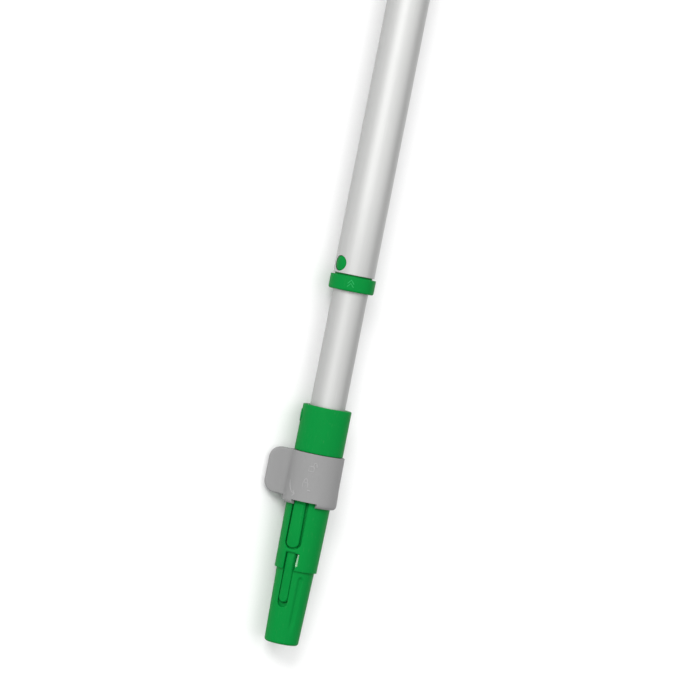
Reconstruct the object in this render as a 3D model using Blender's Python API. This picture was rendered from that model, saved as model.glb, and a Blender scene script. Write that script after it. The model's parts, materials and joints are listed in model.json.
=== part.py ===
"""Telescopic window cleaning pole: two aluminium tubes, a twist lock and a locking tool cone.

The pole lies along X. The origin is the centre of the cone's flat tip, +X points out of the tip
and +Z is up. A station is a distance back from the tip along the pole, so x = -station. An angle is
a turn about +X from +Z, so a piece modelled on the pole's top side (local +Z) goes to its place by
a rotation about X alone.
"""

import math

import bmesh
import bpy

# Angles round the pole, in degrees. The thumb tab points down beside the pole and just clears the floor.
TAB_ANGLE = 122.0
LATCH_ANGLE = TAB_ANGLE - 67.5
NOTCH_ANGLE = TAB_ANGLE - 79.0
NOTCH_HALF_ANGLE = 28.6
LUG_ANGLE = TAB_ANGLE - 41.0
BUTTON_ANGLE = TAB_ANGLE

# Facets round a turned piece, a small post and a wire.
ROUND_STEPS = 48
POST_STEPS = 24
PIN_STEPS = 16
WIRE_STEPS = 6

# Tubes (radii and stations, metres).
OUTER_TUBE_R = 0.0140
OUTER_BORE_R = 0.0129
OUTER_MOUTH = 0.2513
OUTER_END = 0.8813
INNER_TUBE_R = 0.0119
INNER_BORE_R = 0.0108
INNER_FRONT = 0.1124
INNER_END = 0.7000

# Cone body.
TIP_EDGE = 0.0020
TIP_R = 0.01155
CONE_ROOT_R = 0.01279
SHOULDER = 0.0503
BARREL_FRONT_R = 0.01430
BARREL_MID = 0.0820
BARREL_MID_R = 0.01475
SEAT = 0.0944
SEAT_R = 0.01488
SLEEVE = 0.12985
SLEEVE_R = 0.0165
SLEEVE_END = 0.1610
SLEEVE_BORE_R = 0.01215
TUBE_STOP = 0.1120
HOLLOW_R = 0.0105
TIP_HOLLOW = 0.0660
TIP_HOLLOW_R = 0.0090
TIP_WALL = 0.0030

# Rocker latch: a wide paddle in the barrel and a narrow finger in the cone, on a pin under a bridge.
PIVOT = 0.0630
PIVOT_R = 0.0111
PIN_R = 0.0009
PIN_HOLE_R = 0.0011
PIN_HALF_LENGTH = 0.0068
PADDLE_SLOT_LOW = 0.0642
PADDLE_SLOT_HIGH = 0.1090
PADDLE_SLOT_HALF = 0.0058
PADDLE_HALF = 0.00475
PADDLE_GAP = 0.0010
PADDLE_ROUNDING = 0.0036
FINGER_SLOT_LOW = 0.0249
FINGER_SLOT_HIGH = 0.0618
FINGER_SLOT_HALF = 0.0036
FINGER_HALF = 0.0031
FINGER_LOW = 0.0284
FINGER_BARREL_R = 0.0131
BRIDGE_UNDER_R = 0.0132
NECK_R = 0.01285
LATCH_UNDER_R = 0.0113
FINGER_UNDER_R = 0.0093
TAIL_R = 0.01455
BUMP_R = 0.0165
BUMP_LOW = 0.1006
BUMP_HIGH = 0.1054
BUMP_HALF = 0.0022

# Spring under the paddle and the web that it stands on.
WEB_LOW = 0.0860
WEB_HIGH = 0.0980
WEB_HALF = 0.0115
WEB_TOP = 0.0035
WEB_THICKNESS = 0.0020
SPRING_STATION = 0.0920
SPRING_R = 0.0024
SPRING_WIRE_R = 0.0003
SPRING_LOW = 0.0042
SPRING_HIGH = 0.0106
SPRING_TURNS = 5

# Lock collar. Its pocket is a spiral that presses the latch's bump inward as the collar turns.
COLLAR_LOW = 0.0942
COLLAR_HIGH = 0.1295
COLLAR_BORE_R = 0.0152
COLLAR_TOP_R = 0.0180
COLLAR_LOW_R = 0.0186
NOTCH_TOP = 0.0971
COLLAR_TURN = 75.0
POCKET_DEEP_R = 0.01695
POCKET_SHALLOW_R = 0.01515
POCKET_LOW = 0.0999
POCKET_HIGH = 0.1061
POCKET_LEAD = 9.0
RING_LOW = 0.1172
RING_HIGH = 0.1192
RING_SEAT_R = 0.0142
RING_BED_R = 0.0159
TAB_LOW = 0.0985
TAB_HIGH = 0.1295
TAB_REACH = 0.0321
TAB_CORNER_R = 0.0080
TAB_HALF = 0.0026
TAB_ROOT_HALF = 0.0074
TAB_ROOT = 0.0162
TAB_BLEND_END = 0.0235

# Release button and its clip in the inner tube.
BUTTON_STATION = 0.1532
BUTTON_R = 0.00465
BUTTON_HOLE_R = 0.00495
BUTTON_TOP = 0.0170
BUTTON_FLANGE_R = 0.0058
BUTTON_FLANGE_LOW = 0.0074
BUTTON_FLANGE_HIGH = 0.0086
CLIP_FRONT = 0.1475
CLIP_BEND = 0.1720
CLIP_HIGH = 0.00705
CLIP_LOW = -0.00965
CLIP_THICKNESS = 0.0005
CLIP_HALF = 0.0030

# End collar on the mouth of the outer tube.
END_COLLAR_LOW = 0.2403
END_COLLAR_HIGH = 0.2502
END_COLLAR_R = 0.0154
NECK_BAND_R = 0.0139
NECK_BAND_END = 0.2509
BUSH_R = 0.0126
BUSH_END = 0.2760
LUG_STATION = 0.2577
LUG_R = 0.0050
LUG_HOLE_R = 0.00525
LUG_TOP_R = 0.01415
FINGER_CUT_OFFSET = 0.0070
FINGER_CUT_HALF = 0.0005
FINGER_CUT_LOW = 0.2525

# Twist lock on the inner end of the inner tube.
SPINDLE_R = 0.0030
SPINDLE_FRONT = 0.6810
SPINDLE_END = 0.7520
PLUG_FRONT = 0.6800
PLUG_R = 0.0105
PLUG_FLANGE = 0.7003
PLUG_END = 0.7045
PLUG_HOLE_R = 0.00325
EXPANDER_FRONT = 0.7080
EXPANDER_END = 0.7460
EXPANDER_R = 0.0125
EXPANDER_DISC = 0.7160
EXPANDER_HOLE_R = 0.0035
TAPER_FRONT_R = 0.0055
TAPER_SLOPE = 0.16
EXPANDER_CUT_LOW = 0.7220
EXPANDER_CUT_HALF = 0.0015
WEDGE_FRONT = 0.7240
WEDGE_END = 0.7480
WEDGE_CLEARANCE = 0.00045
WEDGE_HOLE_R = 0.0033
KEY_FRONT = 0.7300
KEY_HALF = 0.0011
KEY_REACH = 0.0122
DRAG_LOW = 0.7117
DRAG_HIGH = 0.7143
DRAG_BED_R = 0.0115
DRAG_RING_R = 0.01275
SCREW_HOLE_R = 0.0016
SCREW_HOLE_END = 0.7410
SCREW_R = 0.00135
WASHER_R = 0.0075
WASHER_THICKNESS = 0.0015
SCREW_HEAD_R = 0.0032
SCREW_HEAD_HEIGHT = 0.0029

# Handle end.
GRIP_FRONT = 0.7350
GRIP_END = 0.8720
GRIP_BORE_R = 0.0143
CAP_FLANGE = 0.8817
CAP_END = 0.8893
CAP_R = 0.0190
CAP_FACE_R = 0.0176
CAP_PLUG_R = 0.0126
CAP_PLUG_FRONT = 0.8550
CAP_HOLLOW_R = 0.0100

FACE_GAP = 0.0003
FAR = 0.0400

# Name: (colour, roughness, metallic).
FINISHES = {
    "anodised_aluminium": ((0.66, 0.66, 0.65), 0.38, 1.0),
    "green_plastic": ((0.003, 0.290, 0.055), 0.42, 0.0),
    "dark_green_plastic": ((0.003, 0.230, 0.045), 0.45, 0.0),
    "grey_plastic": ((0.340, 0.340, 0.340), 0.50, 0.0),
    "black_plastic": ((0.020, 0.020, 0.020), 0.50, 0.0),
    "natural_nylon": ((0.620, 0.600, 0.540), 0.50, 0.0),
    "grip_rubber": ((0.030, 0.032, 0.034), 0.75, 0.0),
    "spring_steel": ((0.45, 0.45, 0.46), 0.30, 1.0),
    "zinc_steel": ((0.56, 0.56, 0.54), 0.35, 1.0),
}


def clear_scene():
    for item in list(bpy.data.objects):
        bpy.data.objects.remove(item, do_unlink=True)


def own_material(name, finish):
    colour, roughness, metallic = FINISHES[finish]
    material = bpy.data.materials.new(f"{name}_{finish}")
    material.use_nodes = True
    shader = material.node_tree.nodes["Principled BSDF"]
    shader.inputs["Base Color"].default_value = (*colour, 1.0)
    shader.inputs["Roughness"].default_value = roughness
    shader.inputs["Metallic"].default_value = metallic
    return material


def finish_mesh(name, bm, finish):
    """Turn a bmesh into an object. Without a finish it is a cutter, which is only a guide."""
    bmesh.ops.remove_doubles(bm, verts=bm.verts, dist=0.000001)
    bmesh.ops.recalc_face_normals(bm, faces=bm.faces)
    mesh = bpy.data.meshes.new(name)
    bm.to_mesh(mesh)
    bm.free()
    item = bpy.data.objects.new(name, mesh)
    bpy.context.collection.objects.link(item)
    if finish is None:
        item.hide_render = True
        item.display_type = "WIRE"
    else:
        mesh.materials.append(own_material(name, finish))
        mesh.shade_smooth()
        mesh.set_sharp_from_angle(angle=math.radians(30))
    return item


# How a point (distance along the axis, radius) of a turned profile sits in space, for each axis.
TURNED_POINT = {
    "X": lambda along, r: (-along, 0.0, r),
    "Y": lambda along, r: (0.0, along, r),
    "Z": lambda along, r: (r, 0.0, along),
}
AXIS = {"X": (1, 0, 0), "Y": (0, 1, 0), "Z": (0, 0, 1)}


def turned(name, profile, finish=None, axis="X", steps=ROUND_STEPS):
    """Spin a profile of (distance along, radius) points about an axis through the origin."""
    bm = bmesh.new()
    verts = [bm.verts.new(TURNED_POINT[axis](along, r)) for along, r in profile]
    edges = [bm.edges.new(pair) for pair in zip(verts, verts[1:])]
    if profile[0][1] > 0:
        edges.append(bm.edges.new((verts[-1], verts[0])))
    bmesh.ops.spin(
        bm,
        geom=verts + edges,
        cent=(0, 0, 0),
        axis=AXIS[axis],
        angle=math.tau,
        steps=steps,
        use_merge=True,
    )
    return finish_mesh(name, bm, finish)


def rod(name, low, high, radius, axis="Z", steps=POST_STEPS, finish=None):
    return turned(name, [(low, 0), (low, radius), (high, radius), (high, 0)], finish, axis, steps)


def extruded(name, corners, shift, finish=None):
    """Extrude a flat outline of 3-D corners by a vector."""
    bm = bmesh.new()
    face = bm.faces.new([bm.verts.new(corner) for corner in corners])
    grown = bmesh.ops.extrude_face_region(bm, geom=[face])["geom"]
    moved = [part for part in grown if isinstance(part, bmesh.types.BMVert)]
    bmesh.ops.translate(bm, verts=moved, vec=shift)
    return finish_mesh(name, bm, finish)


def plan(name, outline, low, high):
    """A cutter with an outline of (station, across) points, standing on the pole's top side."""
    return extruded(name, [(-s, y, low) for s, y in outline], (0, 0, high - low))


def block(name, station_low, station_high, y_low, y_high, z_low, z_high, finish=None):
    corners = [
        (-station_low, y_low, z_low),
        (-station_low, y_high, z_low),
        (-station_low, y_high, z_high),
        (-station_low, y_low, z_high),
    ]
    return extruded(name, corners, (station_low - station_high, 0, 0), finish)


def carve(target, tool, operation="DIFFERENCE"):
    modifier = target.modifiers.new(tool.name, "BOOLEAN")
    modifier.operation = operation
    modifier.solver = "EXACT"
    modifier.object = tool


def face_angle(item, degrees):
    item.rotation_euler.x = math.radians(degrees)


def axis_empty(name, station, angle, radius=0.0):
    """An empty on a joint's axis: its local Z points away from the pole."""
    empty = bpy.data.objects.new(name, None)
    turn = math.radians(angle)
    empty.location = (-station, -radius * math.sin(turn), radius * math.cos(turn))
    empty.rotation_euler.x = turn
    bpy.context.collection.objects.link(empty)
    return empty


def hang_on(item, empty, station=0.0, radius=0.0):
    """Parent a piece, modelled on the pole's top side, to the empty on its joint's axis."""
    item.parent = empty
    item.location = (station, 0.0, -radius)


def arc(centre, radius, start, end, steps):
    """Points (along, out) on an arc, from start to end degrees."""
    angles = [math.radians(start + (end - start) * i / steps) for i in range(steps + 1)]
    return [(centre[0] + radius * math.cos(a), centre[1] + radius * math.sin(a)) for a in angles]


def tongue(low, high, half, rounding, steps=8):
    """Outline of a tongue that runs toward the tip: straight sides and an elliptical low end."""
    end = []
    for i in range(steps + 1):
        t = math.pi * (i / steps - 0.5)
        end.append((low + rounding * (1 - math.cos(t)), half * math.sin(t)))
    return [(high, -half)] + end + [(high, half)]


def cone_r(station):
    """Radius of the narrow tool cone."""
    share = (station - TIP_EDGE) / (SHOULDER - TIP_EDGE)
    return TIP_R + (CONE_ROOT_R - TIP_R) * share


def barrel_r(station):
    """Radius of the barrel behind the tool shoulder."""
    if station < BARREL_MID:
        share = (station - SHOULDER) / (BARREL_MID - SHOULDER)
        return BARREL_FRONT_R + (BARREL_MID_R - BARREL_FRONT_R) * share
    share = (station - BARREL_MID) / (SEAT - BARREL_MID)
    return BARREL_MID_R + (SEAT_R - BARREL_MID_R) * share


def wire_ring(name, low, high, inner_r, outer_r, finish, gap_angle):
    """A split ring whose gap is on the side opposite its local +Z."""
    ring = turned(name, [(low, inner_r), (low, outer_r), (high, outer_r), (high, inner_r)], finish)
    half_gap = outer_r * math.tan(math.radians(gap_angle / 2))
    gap = block(f"{name}_gap", low - FACE_GAP, high + FACE_GAP, -half_gap, half_gap, -FAR, 0.0)
    carve(ring, gap)
    return ring


def outer_tube():
    tube = turned(
        "outer_tube",
        [
            (OUTER_MOUTH, OUTER_BORE_R),
            (OUTER_MOUTH, OUTER_TUBE_R),
            (OUTER_END, OUTER_TUBE_R),
            (OUTER_END, OUTER_BORE_R),
        ],
        "anodised_aluminium",
    )
    drill = rod("lug_hole_drill", -FAR, FAR, LUG_HOLE_R)
    drill.location.x = -LUG_STATION
    face_angle(drill, LUG_ANGLE)
    carve(tube, drill)


def end_collar():
    edge = 0.0012
    collar = turned(
        "end_collar",
        [
            (END_COLLAR_LOW, SLEEVE_BORE_R),
            (END_COLLAR_LOW, END_COLLAR_R - edge),
            (END_COLLAR_LOW + edge / 3, END_COLLAR_R - edge / 3),
            (END_COLLAR_LOW + edge, END_COLLAR_R),
            (END_COLLAR_HIGH - FACE_GAP, END_COLLAR_R),
            (END_COLLAR_HIGH, END_COLLAR_R - FACE_GAP),
            (END_COLLAR_HIGH, NECK_BAND_R),
            (NECK_BAND_END, NECK_BAND_R),
            (NECK_BAND_END, BUSH_R),
            (BUSH_END, BUSH_R),
            (BUSH_END, SLEEVE_BORE_R),
        ],
        "green_plastic",
    )
    cuts = []
    for side in (-1, 1):
        middle = side * FINGER_CUT_OFFSET
        name = f"lug_finger_cut_{'left' if side < 0 else 'right'}"
        low, high = middle - FINGER_CUT_HALF, middle + FINGER_CUT_HALF
        cuts.append(block(name, FINGER_CUT_LOW, BUSH_END + FAR, low, high, -FAR, FAR))
    shell_low, shell_high = LUG_STATION - 0.006, LUG_STATION + 0.006
    shell_r = (SLEEVE_BORE_R + BUSH_R) / 2
    shell = [(shell_low, shell_r), (shell_low, LUG_TOP_R), (shell_high, LUG_TOP_R), (shell_high, shell_r)]
    lugs = turned("lug_shell", shell)
    lug_rod = rod("lug_rod", -FAR, FAR, LUG_R)
    lug_rod.location.x = -LUG_STATION
    for tool in cuts + [lugs, lug_rod]:
        face_angle(tool, LUG_ANGLE)
    carve(lugs, lug_rod, "INTERSECT")
    for tool in cuts:
        carve(collar, tool)
    carve(collar, lugs, "UNION")


def hand_grip():
    swell = [(0.0, 0.0149), (0.003, 0.0160), (0.025, 0.0164)]
    swell += [(0.065, 0.0172), (0.105, 0.0166), (0.133, 0.0174)]
    outer = [(GRIP_FRONT + along, r) for along, r in swell]
    turned(
        "hand_grip",
        [(GRIP_FRONT, GRIP_BORE_R)] + outer + [(GRIP_END, 0.0170), (GRIP_END, GRIP_BORE_R)],
        "grip_rubber",
    )


def end_cap():
    edge = CAP_R - CAP_FACE_R
    turned(
        "end_cap",
        [
            (CAP_END, 0),
            (CAP_END, CAP_FACE_R),
            (CAP_END - 0.3 * edge, CAP_R - 0.3 * edge),
            (CAP_END - edge, CAP_R),
            (CAP_FLANGE + edge / 2, CAP_R),
            (CAP_FLANGE, CAP_R - edge / 2),
            (CAP_FLANGE, CAP_PLUG_R),
            (CAP_PLUG_FRONT, CAP_PLUG_R),
            (CAP_PLUG_FRONT, CAP_HOLLOW_R),
            (CAP_FLANGE, CAP_HOLLOW_R),
            (CAP_FLANGE, 0),
        ],
        "dark_green_plastic",
    )


def inner_tube(button_drill):
    tube = turned(
        "inner_tube",
        [
            (INNER_FRONT, INNER_BORE_R),
            (INNER_FRONT, INNER_TUBE_R),
            (INNER_END, INNER_TUBE_R),
            (INNER_END, INNER_BORE_R),
        ],
        "anodised_aluminium",
    )
    carve(tube, button_drill)


def cone_body(button_drill):
    edge = 0.0006
    body = turned(
        "cone_body",
        [(0, 0)]
        + arc((TIP_EDGE, TIP_R - TIP_EDGE), TIP_EDGE, 180, 90, 3)
        + [
            (SHOULDER, CONE_ROOT_R),
            (SHOULDER, BARREL_FRONT_R - FACE_GAP),
            (SHOULDER + FACE_GAP, BARREL_FRONT_R),
            (BARREL_MID, BARREL_MID_R),
            (SEAT, SEAT_R),
            (RING_LOW, SEAT_R),
            (RING_LOW, RING_SEAT_R),
            (RING_HIGH, RING_SEAT_R),
            (RING_HIGH, SEAT_R),
            (SLEEVE, SEAT_R),
            (SLEEVE, SLEEVE_R),
            (SLEEVE_END - edge, SLEEVE_R),
            (SLEEVE_END, SLEEVE_R - edge),
            (SLEEVE_END, SLEEVE_BORE_R),
            (TUBE_STOP, SLEEVE_BORE_R),
            (TUBE_STOP, HOLLOW_R),
            (TIP_HOLLOW + HOLLOW_R - TIP_HOLLOW_R, HOLLOW_R),
            (TIP_HOLLOW, TIP_HOLLOW_R),
            (TIP_WALL, TIP_HOLLOW_R),
            (TIP_WALL, 0),
        ],
        "green_plastic",
    )
    cut_low, cut_high = 0.0070, 0.0300
    rounding = PADDLE_ROUNDING + PADDLE_GAP
    paddle_slot = tongue(PADDLE_SLOT_LOW, PADDLE_SLOT_HIGH, PADDLE_SLOT_HALF, rounding)
    finger_slot = tongue(FINGER_SLOT_LOW, FINGER_SLOT_HIGH, FINGER_SLOT_HALF, FINGER_SLOT_HALF)
    paddle_cut = plan("paddle_slot_cut", paddle_slot, cut_low, cut_high)
    finger_cut = plan("finger_slot_cut", finger_slot, cut_low, cut_high)
    neck_low, neck_high = FINGER_SLOT_HIGH - 0.001, PADDLE_SLOT_LOW + PADDLE_ROUNDING
    neck_half = FINGER_SLOT_HALF
    neck_cut = block("neck_cut", neck_low, neck_high, -neck_half, neck_half, cut_low, BRIDGE_UNDER_R)
    reach = PIN_HALF_LENGTH + 0.0004
    pin_cut = rod("pin_hole_drill", -reach, reach, PIN_HOLE_R, "Y", PIN_STEPS)
    hang_on(pin_cut, axis_empty("pin_hole_axis", PIVOT, LATCH_ANGLE, PIVOT_R))
    web = block("spring_web", WEB_LOW, WEB_HIGH, -WEB_HALF, WEB_HALF, WEB_TOP - WEB_THICKNESS, WEB_TOP)
    for tool in (paddle_cut, finger_cut, neck_cut, web):
        face_angle(tool, LATCH_ANGLE)
    carve(body, web, "UNION")
    for tool in (paddle_cut, finger_cut, neck_cut, pin_cut, button_drill):
        carve(body, tool)


def latch_outline():
    """The latch seen from outside: a wide paddle with a narrow finger on its rounded end."""
    low = PADDLE_SLOT_LOW + PADDLE_GAP
    wide = tongue(low, PADDLE_SLOT_HIGH - PADDLE_GAP, PADDLE_HALF, PADDLE_ROUNDING)
    join = low + PADDLE_ROUNDING * (1 - math.sqrt(1 - (FINGER_HALF / PADDLE_HALF) ** 2))
    narrow = tongue(FINGER_LOW, join, FINGER_HALF, FINGER_HALF)
    before = [point for point in wide if point[1] < -FINGER_HALF]
    after = [point for point in wide if point[1] > FINGER_HALF]
    return before + narrow + after


def latch():
    paddle_low = PADDLE_SLOT_LOW + PADDLE_GAP
    rocker = turned(
        "latch",
        [
            (FINGER_LOW - 0.002, FINGER_UNDER_R),
            (FINGER_LOW - 0.002, cone_r(FINGER_LOW - 0.002)),
            (SHOULDER - 0.0005, cone_r(SHOULDER)),
            (SHOULDER + 0.0012, FINGER_BARREL_R),
            (FINGER_SLOT_HIGH - 0.0015, FINGER_BARREL_R),
            (FINGER_SLOT_HIGH - 0.0003, NECK_R),
            (paddle_low - 0.0004, NECK_R),
            (paddle_low, barrel_r(paddle_low)),
            (BARREL_MID, BARREL_MID_R),
            (SEAT + 0.0008, barrel_r(SEAT)),
            (SEAT + 0.0012, TAIL_R),
            (BUMP_LOW, TAIL_R),
            (PADDLE_SLOT_HIGH, TAIL_R),
            (PADDLE_SLOT_HIGH, LATCH_UNDER_R),
            (TIP_HOLLOW + 0.002, LATCH_UNDER_R),
            (TIP_HOLLOW, FINGER_UNDER_R),
        ],
        "green_plastic",
    )
    outline = plan("latch_outline", latch_outline(), 0.0050, 0.0300)
    middle_r = (LATCH_UNDER_R + TAIL_R) / 2
    bump = block("latch_bump", BUMP_LOW, BUMP_HIGH, -BUMP_HALF, BUMP_HALF, middle_r, BUMP_R)
    drill = rod("latch_pin_drill", -FAR, FAR, PIN_HOLE_R, "Y", PIN_STEPS)
    axis = axis_empty("latch_axis", PIVOT, LATCH_ANGLE, PIVOT_R)
    hang_on(drill, axis)
    for item in (rocker, outline, bump):
        hang_on(item, axis, PIVOT, PIVOT_R)
    carve(rocker, outline, "INTERSECT")
    carve(rocker, bump, "UNION")
    carve(rocker, drill)

    pin = rod("latch_pin", -PIN_HALF_LENGTH, PIN_HALF_LENGTH, PIN_R, "Y", PIN_STEPS, "spring_steel")
    hang_on(pin, axis)


def coil(name, finish, low, high, steps_per_turn=12):
    """A coil spring along local Z, made by placing rings of wire section along a helix."""
    bm = bmesh.new()
    count = SPRING_TURNS * steps_per_turn
    rings = []
    for i in range(count + 1):
        turn = math.tau * i / steps_per_turn
        height = low + (high - low) * i / count
        ring = []
        for k in range(WIRE_STEPS):
            section = math.tau * k / WIRE_STEPS
            out = SPRING_R + SPRING_WIRE_R * math.cos(section)
            up = height + SPRING_WIRE_R * math.sin(section)
            ring.append(bm.verts.new((out * math.cos(turn), out * math.sin(turn), up)))
        rings.append(ring)
    for near, far in zip(rings, rings[1:]):
        for k in range(WIRE_STEPS):
            j = (k + 1) % WIRE_STEPS
            bm.faces.new((near[k], near[j], far[j], far[k]))
    bm.faces.new(list(reversed(rings[0])))
    bm.faces.new(rings[-1])
    return finish_mesh(name, bm, finish)


def latch_spring():
    spring = coil("latch_spring", "spring_steel", SPRING_LOW, SPRING_HIGH)
    spring.location.x = -SPRING_STATION
    face_angle(spring, LATCH_ANGLE)


def cam_pocket():
    """A spiral sector in the collar's bore, deepest over the bump and gone at the end of the turn."""
    bm = bmesh.new()
    slices = []
    steps = 24
    inner = 0.012
    start = LATCH_ANGLE - POCKET_LEAD
    span = COLLAR_TURN + 2 * POCKET_LEAD
    fall = (POCKET_DEEP_R - POCKET_SHALLOW_R) / COLLAR_TURN
    for i in range(steps + 1):
        angle = start + span * i / steps
        outer = POCKET_DEEP_R - fall * (angle - LATCH_ANGLE)
        turn = math.radians(angle)
        section = [(POCKET_LOW, inner), (POCKET_HIGH, inner), (POCKET_HIGH, outer), (POCKET_LOW, outer)]
        corners = []
        for station, r in section:
            corners.append(bm.verts.new((-station, -r * math.sin(turn), r * math.cos(turn))))
        slices.append(corners)
    for near, far in zip(slices, slices[1:]):
        for k in range(4):
            j = (k + 1) % 4
            bm.faces.new((near[k], near[j], far[j], far[k]))
    bm.faces.new(slices[0])
    bm.faces.new(slices[-1])
    return finish_mesh("cam_pocket_cut", bm, None)


def thumb_tab():
    """The tab: a blade that spreads into the ring at its root, with rounded outer corners."""
    side = []
    steps = 6
    for i in range(steps + 1):
        share = i / steps
        height = TAB_ROOT + (TAB_BLEND_END - TAB_ROOT) * share
        side.append((TAB_HALF + (TAB_ROOT_HALF - TAB_HALF) * (1 - share) ** 2.4, height))
    top = arc((0.0, TAB_REACH - TAB_HALF), TAB_HALF, 0, 90, 3)
    half_outline = side + top
    section = half_outline + [(-y, z) for y, z in reversed(half_outline[:-1])]
    blade = extruded("thumb_tab", [(-TAB_LOW, y, z) for y, z in section], (TAB_LOW - TAB_HIGH, 0, 0))
    corner = TAB_REACH - TAB_CORNER_R
    outline = (
        [(TAB_LOW - FACE_GAP, 0.0)]
        + arc((TAB_LOW + TAB_CORNER_R, corner), TAB_CORNER_R, 180, 90, 5)
        + arc((TAB_HIGH - TAB_CORNER_R, corner), TAB_CORNER_R, 90, 0, 5)
        + [(TAB_HIGH + FACE_GAP, 0.0)]
    )
    trim = extruded("thumb_tab_outline", [(-s, -FAR, z) for s, z in outline], (0, 2 * FAR, 0))
    face_angle(blade, TAB_ANGLE)
    face_angle(trim, TAB_ANGLE)
    carve(blade, trim, "INTERSECT")
    return blade


def lock_collar():
    edge = 0.0003
    collar = turned(
        "lock_collar",
        [
            (COLLAR_LOW, COLLAR_BORE_R),
            (COLLAR_LOW, COLLAR_LOW_R - 0.0024),
            (COLLAR_LOW + 0.0003, COLLAR_LOW_R - 0.0014),
            (COLLAR_LOW + 0.0012, COLLAR_LOW_R - 0.0004),
            (COLLAR_LOW + 0.0028, COLLAR_LOW_R),
            (COLLAR_LOW + 0.0150, COLLAR_TOP_R + 0.0002),
            (COLLAR_HIGH - edge, COLLAR_TOP_R),
            (COLLAR_HIGH, COLLAR_TOP_R - edge),
            (COLLAR_HIGH, COLLAR_BORE_R),
            (RING_HIGH, COLLAR_BORE_R),
            (RING_HIGH, RING_BED_R),
            (RING_LOW, RING_BED_R),
            (RING_LOW, COLLAR_BORE_R),
        ],
        "grey_plastic",
    )
    spread = math.radians(NOTCH_HALF_ANGLE)
    wedge = [(0.0, 0.0), (-FAR * math.sin(spread), FAR * math.cos(spread)), (0.0, 1.2 * FAR)]
    wedge.append((FAR * math.sin(spread), FAR * math.cos(spread)))
    low = COLLAR_LOW - FACE_GAP
    notch = extruded("notch_cut", [(-low, y, z) for y, z in wedge], (low - NOTCH_TOP, 0, 0))
    face_angle(notch, NOTCH_ANGLE)
    axis = axis_empty("collar_axis", (COLLAR_LOW + COLLAR_HIGH) / 2, 0.0)
    hang_on(collar, axis, (COLLAR_LOW + COLLAR_HIGH) / 2)
    carve(collar, thumb_tab(), "UNION")
    carve(collar, notch)
    carve(collar, cam_pocket())


def collar_ring():
    low, high = RING_LOW + FACE_GAP, RING_HIGH - FACE_GAP
    seat, bed = RING_SEAT_R + FACE_GAP, RING_BED_R - FACE_GAP
    ring = wire_ring("collar_ring", low, high, seat, bed, "spring_steel", 24)
    face_angle(ring, TAB_ANGLE)


def button_drill():
    drill = rod("button_hole_drill", 0.002, FAR, BUTTON_HOLE_R)
    drill.location.x = -BUTTON_STATION
    face_angle(drill, BUTTON_ANGLE)
    return drill


def release_button():
    edge = 0.0005
    button = turned(
        "release_button",
        [
            (BUTTON_FLANGE_LOW, 0),
            (BUTTON_FLANGE_LOW, BUTTON_FLANGE_R),
            (BUTTON_FLANGE_HIGH, BUTTON_FLANGE_R),
            (BUTTON_FLANGE_HIGH, BUTTON_R),
            (BUTTON_TOP - edge, BUTTON_R),
            (BUTTON_TOP - edge / 3, BUTTON_R - edge),
            (BUTTON_TOP, 0),
        ],
        "green_plastic",
        "Z",
        POST_STEPS,
    )
    hang_on(button, axis_empty("button_axis", BUTTON_STATION, BUTTON_ANGLE))


def button_clip():
    """A leaf spring bent into a U: one leg on the far wall of the tube, the other under the button."""
    middle = (CLIP_HIGH + CLIP_LOW) / 2
    bend_r = (CLIP_HIGH - CLIP_LOW) / 2
    outer = [(CLIP_FRONT, CLIP_HIGH)] + arc((CLIP_BEND, middle), bend_r, 90, -90, 8)
    outer.append((CLIP_FRONT, CLIP_LOW))
    inner_r = bend_r - CLIP_THICKNESS
    inner = [(CLIP_FRONT, middle - inner_r)] + arc((CLIP_BEND, middle), inner_r, -90, 90, 8)
    inner.append((CLIP_FRONT, middle + inner_r))
    corners = [(-s, -CLIP_HALF, z) for s, z in outer + inner]
    clip = extruded("button_clip", corners, (0, 2 * CLIP_HALF, 0), "spring_steel")
    face_angle(clip, BUTTON_ANGLE)


def spindle_parts():
    turned(
        "spindle_plug",
        [
            (PLUG_FRONT, PLUG_HOLE_R),
            (PLUG_FRONT, PLUG_R - 0.0005),
            (PLUG_FRONT + 0.001, PLUG_R),
            (PLUG_FLANGE, PLUG_R),
            (PLUG_FLANGE, INNER_TUBE_R),
            (PLUG_END - 0.001, INNER_TUBE_R),
            (PLUG_END, INNER_TUBE_R - 0.002),
            (PLUG_END, PLUG_HOLE_R),
        ],
        "black_plastic",
    )
    turned(
        "spindle",
        [
            (SPINDLE_FRONT, 0),
            (SPINDLE_FRONT, SPINDLE_R - 0.0004),
            (SPINDLE_FRONT + 0.0004, SPINDLE_R),
            (SPINDLE_END, SPINDLE_R),
            (SPINDLE_END, SCREW_HOLE_R),
            (SCREW_HOLE_END, SCREW_HOLE_R),
            (SCREW_HOLE_END, 0),
        ],
        "zinc_steel",
        steps=POST_STEPS,
    )
    washer_low = SPINDLE_END + FACE_GAP
    washer_high = washer_low + WASHER_THICKNESS
    washer = [(washer_low, SCREW_HOLE_R), (washer_low, WASHER_R)]
    washer += [(washer_high, WASHER_R), (washer_high, SCREW_HOLE_R)]
    turned("end_washer", washer, "zinc_steel", steps=POST_STEPS)
    head_low = washer_high + FACE_GAP
    head_high = head_low + SCREW_HEAD_HEIGHT
    turned(
        "end_screw",
        [
            (SCREW_HOLE_END + 0.001, 0),
            (SCREW_HOLE_END + 0.001, SCREW_R),
            (head_low, SCREW_R),
            (head_low, SCREW_HEAD_R),
            (head_high - 0.0006, SCREW_HEAD_R),
            (head_high, SCREW_HEAD_R - 0.0008),
            (head_high, 0),
        ],
        "zinc_steel",
        steps=POST_STEPS,
    )


def taper_r(station):
    """Radius of the conical bore of the expander."""
    return TAPER_FRONT_R + TAPER_SLOPE * (station - EXPANDER_DISC)


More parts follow.
